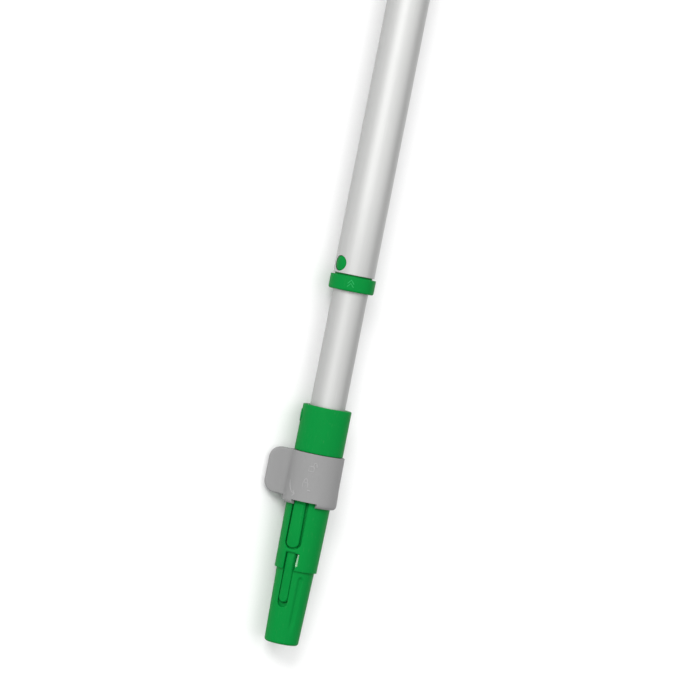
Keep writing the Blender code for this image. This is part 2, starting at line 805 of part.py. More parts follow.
def expander_parts():
    body = turned(
        "expander",
        [
            (EXPANDER_FRONT, EXPANDER_HOLE_R),
            (EXPANDER_FRONT, EXPANDER_R - 0.0005),
            (EXPANDER_FRONT + 0.0005, EXPANDER_R),
            (DRAG_LOW, EXPANDER_R),
            (DRAG_LOW, DRAG_BED_R),
            (DRAG_HIGH, DRAG_BED_R),
            (DRAG_HIGH, EXPANDER_R),
            (EXPANDER_END, EXPANDER_R),
            (EXPANDER_END, taper_r(EXPANDER_END)),
            (EXPANDER_DISC, TAPER_FRONT_R),
            (EXPANDER_DISC, EXPANDER_HOLE_R),
        ],
        "natural_nylon",
    )
    wedge = turned(
        "wedge_nut",
        [
            (WEDGE_FRONT, WEDGE_HOLE_R),
            (WEDGE_FRONT, taper_r(WEDGE_FRONT) - WEDGE_CLEARANCE),
            (WEDGE_END, taper_r(WEDGE_END) - WEDGE_CLEARANCE),
            (WEDGE_END, WEDGE_HOLE_R),
        ],
        "black_plastic",
        steps=POST_STEPS * 2,
    )
    for i in range(3):
        angle = 120.0 * i
        cut = block(
            f"expander_cut_{i + 1}",
            EXPANDER_CUT_LOW,
            EXPANDER_END + 0.001,
            -EXPANDER_CUT_HALF,
            EXPANDER_CUT_HALF,
            0.0045,
            FAR,
        )
        key = block(f"wedge_key_{i + 1}", KEY_FRONT, WEDGE_END, -KEY_HALF, KEY_HALF, 0.0045, KEY_REACH)
        face_angle(cut, angle)
        face_angle(key, angle)
        carve(body, cut)
        carve(wedge, key, "UNION")
    low, high = DRAG_LOW + FACE_GAP, DRAG_HIGH - FACE_GAP
    wire_ring("friction_ring", low, high, DRAG_BED_R + FACE_GAP, DRAG_RING_R, "natural_nylon", 30)


def main():
    clear_scene()
    outer_tube()
    end_collar()
    hand_grip()
    end_cap()
    drill = button_drill()
    inner_tube(drill)
    cone_body(drill)
    latch()
    latch_spring()
    lock_collar()
    collar_ring()
    release_button()
    button_clip()
    spindle_parts()
    expander_parts()


main()
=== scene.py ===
import json
from math import atan2, ceil, cos, degrees, hypot, pi, prod, radians, sin, sqrt, tau

import bmesh
import bpy
from mathutils import Matrix, Vector


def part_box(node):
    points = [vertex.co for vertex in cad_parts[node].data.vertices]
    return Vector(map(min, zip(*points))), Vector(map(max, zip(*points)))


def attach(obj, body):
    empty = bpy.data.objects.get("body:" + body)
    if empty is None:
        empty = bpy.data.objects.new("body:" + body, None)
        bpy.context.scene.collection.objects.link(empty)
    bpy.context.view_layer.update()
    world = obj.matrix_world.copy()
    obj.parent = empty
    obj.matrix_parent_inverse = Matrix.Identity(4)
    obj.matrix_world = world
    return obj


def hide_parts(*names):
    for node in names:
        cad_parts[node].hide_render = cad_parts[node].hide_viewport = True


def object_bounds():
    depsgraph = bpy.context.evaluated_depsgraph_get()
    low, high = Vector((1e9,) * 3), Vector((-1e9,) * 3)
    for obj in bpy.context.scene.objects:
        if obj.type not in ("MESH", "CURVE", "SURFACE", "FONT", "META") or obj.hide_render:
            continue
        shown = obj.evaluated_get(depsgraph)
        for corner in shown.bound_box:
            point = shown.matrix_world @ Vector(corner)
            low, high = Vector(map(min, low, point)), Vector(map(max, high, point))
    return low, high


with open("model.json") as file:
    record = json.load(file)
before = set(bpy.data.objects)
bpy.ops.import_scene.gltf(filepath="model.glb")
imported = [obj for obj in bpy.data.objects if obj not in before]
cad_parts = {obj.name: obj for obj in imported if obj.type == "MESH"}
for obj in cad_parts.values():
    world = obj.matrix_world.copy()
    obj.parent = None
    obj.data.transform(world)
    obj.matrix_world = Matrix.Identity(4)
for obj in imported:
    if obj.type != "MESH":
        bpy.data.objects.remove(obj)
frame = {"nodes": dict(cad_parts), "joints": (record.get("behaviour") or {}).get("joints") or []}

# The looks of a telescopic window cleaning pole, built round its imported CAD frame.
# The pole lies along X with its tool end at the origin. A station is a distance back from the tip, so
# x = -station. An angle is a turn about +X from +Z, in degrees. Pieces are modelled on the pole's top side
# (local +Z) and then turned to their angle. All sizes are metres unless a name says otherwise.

CAD_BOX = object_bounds()
JOINTS = {joint["name"]: joint for joint in frame["joints"]}


def span(node):
    """Front and back stations of a CAD node."""
    low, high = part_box(node)
    return -high.x, -low.x


def direction_angle(y, z):
    """Angle of a direction square to the pole."""
    return degrees(atan2(-y, z))


# Places and sizes that come from the frame.
MOUTH, OUTER_END = span("outer_tube")
OUTER_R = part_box("outer_tube")[1].z
INNER_FRONT, INNER_END = span("inner_tube")
INNER_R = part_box("inner_tube")[1].z
SLEEVE_END = span("cone_body")[1]
SLEEVE_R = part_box("cone_body")[1].z
COLLAR_LOW, COLLAR_HIGH = span("lock_collar")
COLLAR_LOW_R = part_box("lock_collar")[1].y
END_COLLAR_LOW, BUSH_END = span("end_collar")
END_COLLAR_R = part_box("end_collar")[1].z
RING_LOW, RING_HIGH = span("collar_ring")
GRIP_FRONT, GRIP_END = span("hand_grip")
GRIP_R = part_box("hand_grip")[1].z
CAP_FRONT, CAP_END = span("end_cap")
CAP_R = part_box("end_cap")[1].z
FINGER_LOW, PADDLE_HIGH = span("latch")
PIVOT_PLACE = JOINTS["latch_swing"]["pos_m"]
PIVOT = -PIVOT_PLACE[0]
PIVOT_R = hypot(*PIVOT_PLACE[1:])
LATCH_ANGLE = direction_angle(*PIVOT_PLACE[1:])
BUTTON_ANGLE = direction_angle(*[-part for part in JOINTS["button_press"]["axis"][1:]])
BUTTON_STATION = -sum(corner.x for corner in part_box("release_button")) / 2
TAB_ANGLE = BUTTON_ANGLE

# The tubes, and the gaps between pieces that touch and behind a stop.
GAP = 0.0003
SEAT_GAP = 0.0004
TUBE_WALL = 0.0011

# The cone, from its tip to its sleeve.
TIP_R = 0.01155
TIP_ROUNDING = 0.0020
SHOULDER = 0.0503
SHOULDER_CONE_R = 0.01279
BARREL_FRONT_R = 0.01430
BARREL_MID = 0.0820
BARREL_MID_R = 0.01475
SEAT_R = 0.01488
SLEEVE_STEP = COLLAR_HIGH + 0.00035
SLEEVE_BORE_R = 0.01215
HOLLOW_R = 0.0105
TIP_HOLLOW_R = 0.0090
TIP_HOLLOW = 0.0660
TIP_WALL = 0.0030
RING_SEAT_R = 0.0142
WEB = (0.0860, 0.0980)
WEB_HALF = 0.0115
WEB_HEIGHT = (0.0015, 0.0035)
FLUTE_ANGLE = 10.0
FLUTE_HALF_ANGLE = 12.0
FLUTE = (0.0060, 0.0470)
FLUTE_DEPTH = 0.0011
FLUTE_ARCH = 0.0060
FLUTE_TOP_FADE = 0.0012
FLUTE_FOOT_FADE = 0.0120
SCOOP = (0.0532, 0.0620)
SCOOP_OVERRUN = 0.001
SCOOP_ACROSS = (0.0047, 0.0061)
SCOOP_ANGLE = 37.0
SCOOP_TILT = 12.0
SCOOP_MATCH = 0.9995

# The latch, its slots and its pin.
PADDLE_LOW = 0.0642
PADDLE_SLOT_HALF = 0.0058
PADDLE_HALF = 0.00475
PADDLE_GAP = 0.0010
PADDLE_ROUNDING = 0.0036
FINGER_SLOT_LOW = FINGER_LOW - 0.0035
FINGER_SLOT_HIGH = 0.0618
FINGER_SLOT_HALF = 0.0036
SHOULDER_STEP = 0.0009
FINGER_HALF = 0.0031
FINGER_BARREL_R = 0.0131
BRIDGE_UNDER_R = 0.0132
NECK_R = 0.01285
LATCH_UNDER_R = 0.0113
FINGER_UNDER_R = 0.0093
POCKET_FLOOR = 0.0094
WELL_GAP = 0.0008
WELL_FLOOR = 0.0072
FINGER_RIM = 0.00025
PLUG_FLOOR = 0.005
PADDLE_LIP = 0.00085
PADDLE_LIP_DEPTH = 0.0026
PADDLE_TAPER = 0.0006
PADDLE_SHIFT = 0.00025
PADDLE_EDGE = 0.0009
FINGER_EDGE = 0.0007
LIP_EDGE = 0.0002
FINGER_LIP = 0.0004
FINGER_LIP_DEPTH = 0.0011
LATCH_ROOT = PADDLE_LOW + 0.0070
TAIL_R = 0.01455
BUMP_R = 0.0165
BUMP = (0.1006, 0.1054)
BUMP_HALF = 0.0022
BUMP_FOOT = 0.0125
PIN_HOLE_R = 0.0011
PIN_HALF_LENGTH = 0.0068

# The lock collar with its tab, notch, pocket and signs.
RING_BED_R = 0.0159
COLLAR_BORE_R = 0.0152
COLLAR_TOP_R = 0.0180
COLLAR_SWELL = 0.0002
COLLAR_LIP = 0.0024
COLLAR_LIP_LENGTH = 0.0028
COLLAR_TAPER = 0.0150
COLLAR_EDGE = 0.0004
COLLAR_NOTCH = 0.0029
NOTCH_ANGLE = TAB_ANGLE - 79.0
NOTCH_HALF_ANGLE = 28.6
NOTCH_REACH = (0.0125, 0.0250)
POCKET = (0.0999, 0.1061)
POCKET_R = (0.01695, 0.01515)
POCKET_INNER_R = 0.012
POCKET_LEAD = 9.0
TAB_LOW = 0.0985
TAB_REACH = 0.0321
TAB_CORNER = 0.0080
TAB_HALF = 0.0026
TAB_FILLET = 0.0064
TAB_RIM = 0.0010
MARK_ANGLE = TAB_ANGLE - 70.0
MARK_WIDTH = 0.0008
MARK_HEIGHT = 0.00022

# The release button.
BUTTON_FOOT = 0.0074
BUTTON_FLANGE = 0.0086
BUTTON_FLANGE_R = 0.0058
BUTTON_FACE = 0.0168
BUTTON_R = 0.00465
BUTTON_EDGE = 0.0007
BUTTON_CROWN = 0.0002
BUTTON_CROWN_R = 0.004
BUTTON_HOLE_R = 0.00495
BUTTON_CUT = 0.002

# The end collar with its groove, lugs and chevrons.
MOUTH_GROOVE = 0.0012
MOUTH_GROOVE_DEPTH = 0.0013
CHEVRON_ANGLE = TAB_ANGLE - 87.0
CHEVRON_WIDTH = 0.0007
CHEVRON_HEIGHT = 0.00018
LUG_ANGLE = TAB_ANGLE - 41.0
LUG_STATION = 0.2577
LUG_R = 0.0050
LUG_HOLE_R = 0.00525
LUG_FOOT = 0.0115
LUG_PROUD = 0.00035
LUG_SHOULDER = 0.0011
LUG_EDGE = 0.0006
LUG_CROWN = 0.0005

# The grip and the cap at the handle end.
GRIP_BORE_R = OUTER_R + GAP
GRIP_FACE_R = 0.0149
GRIP_LEAD_R = 0.0161
GRIP_LEAD = 0.003
GRIP_RINGS = 30
GRIP_RING_DEPTH = 0.0003
GRIP_FLUTES = 6
GRIP_FLUTE_DEPTH = 0.00035
GRIP_WORKED = (0.08, 0.92)
GRIP_FADE = 0.05
CAP_FACE_R = 0.0176
CAP_GROOVE_R = 0.0118
CAP_BORE_R = 0.0100

# Roundings: the length that each takes from both sides of a corner.
HAIR_EDGE = 0.0001
FINE_EDGE = 0.0002
CRISP_EDGE = 0.0003
MOUTH_EDGE = 0.00035
SOFT_EDGE = 0.0004
WORN_EDGE = 0.0006
ROUND_EDGE = 0.0008
LIP_CURVE = 0.0009
BROAD_EDGE = 0.0010

FINE_STEPS = 240
TUBE_STEPS = 160
TUBE_RUN = 0.06
SMALL_STEPS = 64
PIN_STEPS = 24
# Tools: how high cutters reach, a hair's breadth, and the distance at which points merge.
ROOF = 0.0400
NEAR = 0.00002
MERGE = 0.000002
SMOOTH_ANGLE = 32.0
CAD_SMOOTH_ANGLE = 30.0


# ---- Materials ----


def new_material(name, roughness, metallic=0.0, specular=0.5):
    """A new material, with its node tree and shader."""
    material = bpy.data.materials.new(name)
    material.use_nodes = True
    tree = material.node_tree
    shader = tree.nodes["Principled BSDF"]
    shader.inputs["Metallic"].default_value = metallic
    shader.inputs["Specular IOR Level"].default_value = specular
    shader.inputs["Roughness"].default_value = roughness
    return material, tree, shader


def noise(tree, scale, stretch=(1.0, 1.0, 1.0), detail=4.0):
    """A noise value in the piece's own coordinates. Stretch squeezes the pattern along an axis."""
    place = tree.nodes.new("ShaderNodeTexCoord")
    mapping = tree.nodes.new("ShaderNodeMapping")
    mapping.inputs["Scale"].default_value = stretch
    texture = tree.nodes.new("ShaderNodeTexNoise")
    texture.inputs["Scale"].default_value = scale
    texture.inputs["Detail"].default_value = detail
    tree.links.new(place.outputs["Object"], mapping.inputs["Vector"])
    tree.links.new(mapping.outputs["Vector"], texture.inputs["Vector"])
    return texture.outputs["Fac"]


def spread(tree, value, low, high, start=0.3, end=0.7):
    """The value's range start..end mapped onto low..high."""
    node = tree.nodes.new("ShaderNodeMapRange")
    node.inputs["From Min"].default_value = start
    node.inputs["From Max"].default_value = end
    node.inputs["To Min"].default_value = low
    node.inputs["To Max"].default_value = high
    tree.links.new(value, node.inputs["Value"])
    return node.outputs["Result"]


def blend_colour(tree, value, share, first, second, start=0.3, end=0.7):
    """The first colour with a share of the second, which grows as the value goes from start to end."""
    factor = spread(tree, value, 0.0, share, start, end)
    node = tree.nodes.new("ShaderNodeMix")
    node.data_type = "RGBA"
    tree.links.new(factor, node.inputs["Factor"])
    for socket, colour in (("A", first), ("B", second)):
        target = next(s for s in node.inputs if s.name == socket and s.type == "RGBA")
        if isinstance(colour, bpy.types.NodeSocket):
            tree.links.new(colour, target)
        else:
            target.default_value = (*colour, 1.0)
    return next(s for s in node.outputs if s.type == "RGBA")


def roughen(tree, shader, roughness, fine, broad, broad_range):
    """Roughness that varies with a fine pattern and, by its own range, with a broad one."""
    total = tree.nodes.new("ShaderNodeMath")
    total.operation = "ADD"
    tree.links.new(spread(tree, fine, roughness - 0.05, roughness + 0.05), total.inputs[0])
    tree.links.new(spread(tree, broad, -broad_range, broad_range), total.inputs[1])
    tree.links.new(total.outputs[0], shader.inputs["Roughness"])


def raised(tree, shader, layers):
    """Bump from (value, depth in metres) layers, set on the shader."""
    normal = None
    for value, depth in layers:
        node = tree.nodes.new("ShaderNodeBump")
        node.inputs["Strength"].default_value = 1.0
        node.inputs["Distance"].default_value = depth
        tree.links.new(value, node.inputs["Height"])
        if normal is not None:
            tree.links.new(normal, node.inputs["Normal"])
        normal = node.outputs["Normal"]
    tree.links.new(normal, shader.inputs["Normal"])


def tone(colour, factor):
    return tuple(part * factor for part in colour)


def anodised(name, colour, roughness):
    """Anodised aluminium: fine drawing lines along the tube, cloudy patches and a few rub marks."""
    material, tree, shader = new_material(name, roughness, metallic=1.0)
    lines = noise(tree, 1.0, (14.0, 1500.0, 1500.0), 5.0)
    bands = noise(tree, 1.0, (2.5, 210.0, 210.0), 2.0)
    clouds = noise(tree, 38.0, (0.25, 1.0, 1.0), 3.0)
    rubs = noise(tree, 1.0, (30.0, 900.0, 900.0), 3.0)
    base = blend_colour(tree, lines, 1.0, tone(colour, 0.93), tone(colour, 1.05))
    base = blend_colour(tree, bands, 0.45, base, tone(colour, 0.95))
    base = blend_colour(tree, clouds, 0.3, base, tone(colour, 1.05))
    base = blend_colour(tree, rubs, 0.35, base, tone(colour, 1.25), 0.66, 0.78)
    tree.links.new(base, shader.inputs["Base Color"])
    roughen(tree, shader, roughness, lines, clouds, 0.03)
    raised(tree, shader, [(lines, 0.000004), (bands, 0.00001)])
    return material


def moulded(name, colour, roughness, specular, fade=0.10):
    """Moulded plastic: slight flow clouds, a fine grain and faint scuffs."""
    material, tree, shader = new_material(name, roughness, specular=specular)
    clouds = noise(tree, 55.0, (0.45, 1.0, 1.0), 3.0)
    pores = noise(tree, 2600.0, detail=3.0)
    scuffs = noise(tree, 1.0, (260.0, 900.0, 2100.0), 4.0)
    base = blend_colour(tree, clouds, 1.0, tone(colour, 1.0 - fade), tone(colour, 1.0 + fade))
    base = blend_colour(tree, pores, 0.5, base, tone(colour, 0.88))
    pale = tuple(part + 0.10 * (0.8 - part) for part in colour)
    base = blend_colour(tree, scuffs, 0.22, base, pale, 0.62, 0.80)
    tree.links.new(base, shader.inputs["Base Color"])
    roughen(tree, shader, roughness, pores, clouds, 0.05)
    raised(tree, shader, [(pores, 0.000012), (clouds, 0.00003)])
    return material


def soft_rubber(name, colour):
    """Grip rubber: pebbled skin, dusty bloom on its high spots and darker pores."""
    material, tree, shader = new_material(name, 0.75, specular=0.25)
    cells = tree.nodes.new("ShaderNodeTexVoronoi")
    cells.inputs["Scale"].default_value = 1500.0
    place = tree.nodes.new("ShaderNodeTexCoord")
    tree.links.new(place.outputs["Object"], cells.inputs["Vector"])
    pebbles = cells.outputs["Distance"]
    bloom = noise(tree, 70.0, detail=5.0)
    base = blend_colour(tree, bloom, 1.0, colour, tone(colour, 1.9), 0.4, 0.75)
    base = blend_colour(tree, pebbles, 0.5, base, tone(colour, 0.5), 0.2, 0.7)
    tree.links.new(base, shader.inputs["Base Color"])
    tree.links.new(spread(tree, bloom, 0.66, 0.84), shader.inputs["Roughness"])
    raised(tree, shader, [(pebbles, -0.00006), (bloom, 0.00003)])
    return material


def steel(name, colour, roughness, stretch):
    """Plated or bright steel: fine machining or drawing lines, spangle and dull spots."""
    material, tree, shader = new_material(name, roughness, metallic=1.0)
    lines = noise(tree, 1.0, stretch, 4.0)
    spangle = noise(tree, 420.0, detail=2.0)
    base = blend_colour(tree, lines, 1.0, tone(colour, 0.86), tone(colour, 1.1))
    base = blend_colour(tree, spangle, 0.5, base, tone(colour, 0.8))
    tree.links.new(base, shader.inputs["Base Color"])
    tree.links.new(spread(tree, spangle, roughness - 0.07, roughness + 0.09), shader.inputs["Roughness"])
    raised(tree, shader, [(lines, 0.000006)])
    return material


GREEN = (0.0008, 0.180, 0.030)
TURNED_LINES = (1200.0, 60.0, 60.0)
DRAWN_LINES = (300.0, 2400.0, 2400.0)

# A finish: its maker, colour and roughness, then a plastic's specular level and clouds, or a steel's lines.
FINISHES = {
    "anodised_tube": (anodised, (0.470, 0.472, 0.466), 0.53),
    "dull_anodised_tube": (anodised, (0.450, 0.452, 0.446), 0.59),
    "green_plastic": (moulded, GREEN, 0.46, 0.04, 0.05),
    "polished_green_plastic": (moulded, GREEN, 0.22, 0.50, 0.05),
    # Lighter green for the raised chevrons: a painted highlight on their lit flanks, not wear.
    "worn_green_plastic": (moulded, (0.016, 0.280, 0.075), 0.40, 0.10, 0.05),
    "dark_green_plastic": (moulded, tone(GREEN, 0.78), 0.50, 0.20),
    "grey_plastic": (moulded, (0.210, 0.210, 0.210), 0.50, 0.15, 0.04),
    # Lighter grey for the raised collar signs: a painted highlight on their lit strokes, not wear.
    "worn_grey_plastic": (moulded, (0.260, 0.260, 0.260), 0.42, 0.20, 0.04),
    "grip_rubber": (soft_rubber, (0.024, 0.026, 0.027)),
    "natural_nylon": (moulded, (0.60, 0.58, 0.52), 0.42, 0.45),
    "black_plastic": (moulded, (0.018, 0.018, 0.019), 0.48, 0.40),
    "zinc_steel": (steel, (0.56, 0.57, 0.56), 0.36, TURNED_LINES),
    "spring_steel": (steel, (0.50, 0.50, 0.51), 0.26, DRAWN_LINES),
}
MATERIALS = {name: make(name, *looks) for name, (make, *looks) in FINISHES.items()}


# ---- Mesh tools ----


def placed(name, data):
    """A new object in the scene."""
    item = bpy.data.objects.new(name, data)
    bpy.context.scene.collection.objects.link(item)
    return item


def finished(name, bm, angle=0.0):
    """Turn a bmesh into an object, turned to its angle round the pole."""
    bmesh.ops.recalc_face_normals(bm, faces=bm.faces)
    mesh = bpy.data.meshes.new(name)
    bm.to_mesh(mesh)
    bm.free()
    mesh.transform(Matrix.Rotation(radians(angle), 4, "X"))
    return placed(name, mesh)


def smooth(item, angle=SMOOTH_ANGLE):
    item.data.shade_smooth()
    item.data.set_sharp_from_angle(angle=radians(angle))


def dress(item, body, slot, *nodes, finish=None):
    """Give a piece its shading and material, the body it rides on and the CAD nodes it stands for."""
    smooth(item)
    item.data.materials.clear()
    item.data.materials.append(MATERIALS[finish or slot])
    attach(item, body)
    if nodes:
        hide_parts(*nodes)


def bridge(bm, near, far):
    """Faces between two closed rows of vertices. A row of one vertex is a point on the axis."""
    count = max(len(near), len(far))
    for k in range(count):
        j = (k + 1) % count
        corners = [near[k % len(near)], near[j % len(near)], far[j % len(far)], far[k % len(far)]]
        bm.faces.new(list(dict.fromkeys(corners)))


def bridge_rows(bm, rows):
    for near, far in zip(rows, rows[1:]):
        bridge(bm, near, far)


def close_rows(bm, rows):
    """A closed body from rows of vertices: its sides and a face at each end."""
    bridge_rows(bm, rows)
    bm.faces.new(rows[0])
    bm.faces.new(rows[-1])


def soften(corners, loop=True):
    """Round an outline. A corner is (along, out, length that the rounding takes from each side)."""
    points = []
    steps = 5
    for i, (along, out, cut) in enumerate(corners):
        if cut == 0 or (not loop and i in (0, len(corners) - 1)):
            points.append((along, out))
            continue
        here = Vector((along, out))
        start = here + (Vector(corners[i - 1][:2]) - here).normalized() * cut
        end = here + (Vector(corners[(i + 1) % len(corners)][:2]) - here).normalized() * cut
        for k in range(steps + 1):
            t = k / steps
            point = start * (1 - t) ** 2 + here * 2 * t * (1 - t) + end * t * t
            points.append(tuple(point))
    return points


def refine(points, longest, low, high):
    """Split an open outline's runs between stations low and high into steps of at most longest."""
    result = [points[0]]
    for (a, r), (b, q) in zip(points, points[1:]):
        parts = 1
        if min(a, b) >= low - NEAR and max(a, b) <= high + NEAR:
            parts = max(1, ceil(abs(b - a) / longest))
        result += [(a + (b - a) * k / parts, r + (q - r) * k / parts) for k in range(1, parts + 1)]
    return result


def lathe(name, profile, steps=TUBE_STEPS, shape=None):
    """Turn a profile of (station, radius) points round the pole. Shape may change each radius."""
    bm = bmesh.new()
    rows = []
    for station, r in profile:
        if r == 0:
            rows.append([bm.verts.new((-station, 0.0, 0.0))])
            continue
        row = []
        for k in range(steps):
            turn = tau * k / steps
            out = shape(station, r, degrees(turn)) if shape else r
            row.append(bm.verts.new((-station, -out * sin(turn), out * cos(turn))))
        rows.append(row)
    bridge_rows(bm, rows)
    if len(rows[0]) > 1 and len(rows[-1]) > 1:
        bridge(bm, rows[-1], rows[0])
    return finished(name, bm)


def post(name, profile, station, angle, steps=SMALL_STEPS, axis="Z"):
    """Turn a profile of (height, radius) points round local Z, or round local Y at the latch's pivot."""
    bm = bmesh.new()
    rows = []
    for height, r in profile:
        ring = [tau * k / steps for k in range(steps)] if r > 0 else [0.0]
        spots = [(r * cos(t) - station, r * sin(t)) for t in ring]
        if axis == "Z":
            rows.append([bm.verts.new((x, side, height)) for x, side in spots])
        else:
            rows.append([bm.verts.new((x, height, side + PIVOT_R)) for x, side in spots])
    bridge_rows(bm, rows)
    return finished(name, bm, angle)


def drill(name, low, high, r, station, angle, steps=SMALL_STEPS, axis="Z"):
    """A straight round cutter between two heights."""
    return post(name, [(low, 0), (low, r), (high, r), (high, 0)], station, angle, steps, axis)


def block(name, stations, ys, zs):
    """A plain block on the latch's side, for cuts and for joining."""
    bm = bmesh.new()
    corners = [(ys[0], zs[0]), (ys[1], zs[0]), (ys[1], zs[1]), (ys[0], zs[1])]
    rows = [[bm.verts.new((-station, y, z)) for y, z in corners] for station in stations]
    close_rows(bm, rows)
    return finished(name, bm, LATCH_ANGLE)


def carve(target, cuts=(), joins=(), within=()):
    """Join tools to a piece, cut tools from it or keep what lies within a tool, then remove the tools."""
    tools = [("UNION", tool) for tool in joins] + [("DIFFERENCE", tool) for tool in cuts]
    tools += [("INTERSECT", tool) for tool in within]
    for operation, tool in tools:
        modifier = target.modifiers.new(tool.name, "BOOLEAN")
        modifier.operation = operation
        modifier.solver = "EXACT"
        modifier.object = tool
    bpy.context.view_layer.update()
    made = target.evaluated_get(bpy.context.evaluated_depsgraph_get())
    mesh = bpy.data.meshes.new_from_object(made)
    target.modifiers.clear()
    target.data = mesh
    bm = bmesh.new()
    bm.from_mesh(mesh)
    bmesh.ops.remove_doubles(bm, verts=bm.verts, dist=MERGE)
    bmesh.ops.dissolve_degenerate(bm, edges=bm.edges, dist=MERGE)
    bm.to_mesh(mesh)
    bm.free()
    for _, tool in tools:
        bpy.data.objects.remove(tool)


def grown(outline, amount):
    """A closed (station, across) outline moved outward by an amount."""
    area = sum(a[0] * b[1] - b[0] * a[1] for a, b in zip(outline, outline[1:] + outline[:1]))
    side = 1.0 if area > 0 else -1.0
    moved = []
    for i, point in enumerate(outline):
        here = Vector(point)
        back = (here - Vector(outline[i - 1])).normalized()
        ahead = (Vector(outline[(i + 1) % len(outline)]) - here).normalized()
        normal = Vector((back.y + ahead.y, -back.x - ahead.x)).normalized() * side
        square = Vector((back.y, -back.x)) * side
        moved.append(tuple(here + normal * amount / max(0.5, normal.dot(square))))
    return moved


def quarter(radius, steps):
    """A quarter round as (drop, inset) points, from (radius, 0) to (0, radius)."""
    turns = [pi / 2 * k / steps for k in range(steps + 1)]
    return [(radius * (1 - sin(t)), radius * (1 - cos(t))) for t in turns]


def rim_levels(radius, sign, steps=4):
    """Levels (depth, growth) that round a cut's rim (sign 1) or a plug's top edge (sign -1)."""
    levels = [(depth, sign * growth) for depth, growth in quarter(radius, steps)]
    levels[-1] = (levels[-1][0] - NEAR, levels[-1][1])
    return levels


def slug(name, outline, levels, surface, floor, angle=LATCH_ANGLE):
    """A plug with a (station, across) outline. Each of its levels lies at a depth under a turned surface
    and is grown by an amount."""
    bm = bmesh.new()
    rows = [[bm.verts.new((-s, y, floor)) for s, y in grown(outline, levels[0][1])]]
    for depth, growth in levels:
        row = []
        for s, y in grown(outline, growth):
            row.append(bm.verts.new((-s, y, sqrt((surface(s) - depth) ** 2 - y * y))))
        rows.append(row)
    rows.append([bm.verts.new((-s, y, ROOF)) for s, y in grown(outline, levels[-1][1])])
    close_rows(bm, rows)
    return finished(name, bm, angle)


def tongue(low, high, half, rounding):
    """Outline of a tongue toward the tip: straight sides and an elliptical end at its low station."""
    end = []
    steps = 20
    for i in range(steps + 1):
        t = pi * (i / steps - 0.5)
        end.append((low + rounding * (1 - cos(t)), half * sin(t)))
    return [(high, -half)] + end + [(high, half)]


def stroke(bm, path, surface, width=MARK_WIDTH, height=MARK_HEIGHT):
    """A raised half-round line on the pole's surface, along a path of (station, angle) points."""
    rows = []
    flat = [Vector((s, radians(a) * surface)) for s, a in path]
    for i, here in enumerate(flat):
        ahead = (flat[min(i + 1, len(flat) - 1)] - flat[max(i - 1, 0)]).normalized()
        side = Vector((-ahead.y, ahead.x))
        row = []
        for across, up in ((-0.5, -0.4), (-0.38, 0.6), (0.0, 1.0), (0.38, 0.6), (0.5, -0.4)):
            spot = here + side * across * width
            r, turn = surface + up * height, spot.y / surface
            row.append(bm.verts.new((-spot.x, -r * sin(turn), r * cos(turn))))
        rows.append(row)
    close_rows(bm, rows)


# ---- Pieces ----


def tube(name, front, end, r, edges):
    """A plain tube. Edges are the roundings of its front bore, front rim, end rim and end bore."""
    bore = r - TUBE_WALL
    corners = [(front, bore), (front, r), (end, r), (end, bore)]
    outline = [(*corner, edge) for corner, edge in zip(corners, edges)]
    return lathe(name, refine(soften(outline), TUBE_RUN, front, end))


def tubes():
    edges = (CRISP_EDGE, MOUTH_EDGE, CRISP_EDGE, CRISP_EDGE)
    outer = tube("outer_tube_skin", MOUTH, OUTER_END, OUTER_R, edges)
    carve(outer, [drill("lug_drill", -ROOF, ROOF, LUG_HOLE_R, LUG_STATION, LUG_ANGLE)])
    dress(outer, "outer_section", "anodised_tube", "outer_tube")

    inner = tube("inner_tube_skin", INNER_FRONT, INNER_END, INNER_R, (0, CRISP_EDGE, CRISP_EDGE, 0))
    carve(inner, [drill("button_drill", 0, ROOF, BUTTON_HOLE_R, BUTTON_STATION, BUTTON_ANGLE)])
    dress(inner, "inner_section", "anodised_tube", "inner_tube", finish="dull_anodised_tube")


def end_collar():
    """The ring on the outer tube's mouth, with a sloped front, a groove and a bush in the tube."""
    low, high, face = END_COLLAR_LOW, MOUTH - MOUTH_GROOVE, MOUTH - SEAT_GAP
    band = OUTER_R - MOUTH_GROOVE_DEPTH
    bush = OUTER_R - TUBE_WALL - GAP
    slope, slope_drop = 0.0012, 0.0004
    outline = [
        (low, SLEEVE_BORE_R, SOFT_EDGE),
        (low, END_COLLAR_R - slope_drop, LIP_CURVE),
        (low + slope, END_COLLAR_R, WORN_EDGE),
        (high, END_COLLAR_R, SOFT_EDGE),
        (high, band, FINE_EDGE),
        (face, band, 0),
        (face, bush, 0),
        (BUSH_END, bush, CRISP_EDGE),
        (BUSH_END, SLEEVE_BORE_R, FINE_EDGE),
    ]
    dress(lathe("end_collar_skin", soften(outline)), "outer_section", "green_plastic", "end_collar")
    for side, angle in (("front", LUG_ANGLE), ("back", LUG_ANGLE + 180.0)):
        snap_lug(f"end_collar_lug_{side}", angle)
    end_collar_mark()


def snap_lug(name, angle):
    """A round lug that fills a hole in the tube, with a rounded edge and a low crown."""
    top = OUTER_R + LUG_PROUD
    profile = [(LUG_FOOT, 0), (LUG_FOOT, LUG_R - HAIR_EDGE)]
    for turn in (0, 22, 45, 67, 90):
        rise, inset = sin(radians(turn)), 1 - cos(radians(turn))
        profile.append((top - LUG_SHOULDER + LUG_EDGE * rise, LUG_R - LUG_EDGE * inset))
    for r in (0.0038, 0.0030, 0.0020, 0.0010, 0):
        profile.append((top - LUG_CROWN + LUG_CROWN * (1 - (r / (LUG_R - LUG_EDGE)) ** 2), r))
    lug = post(name, profile, LUG_STATION, angle)
    bend_to_tube(lug, angle)
    dress(lug, "outer_section", "green_plastic")


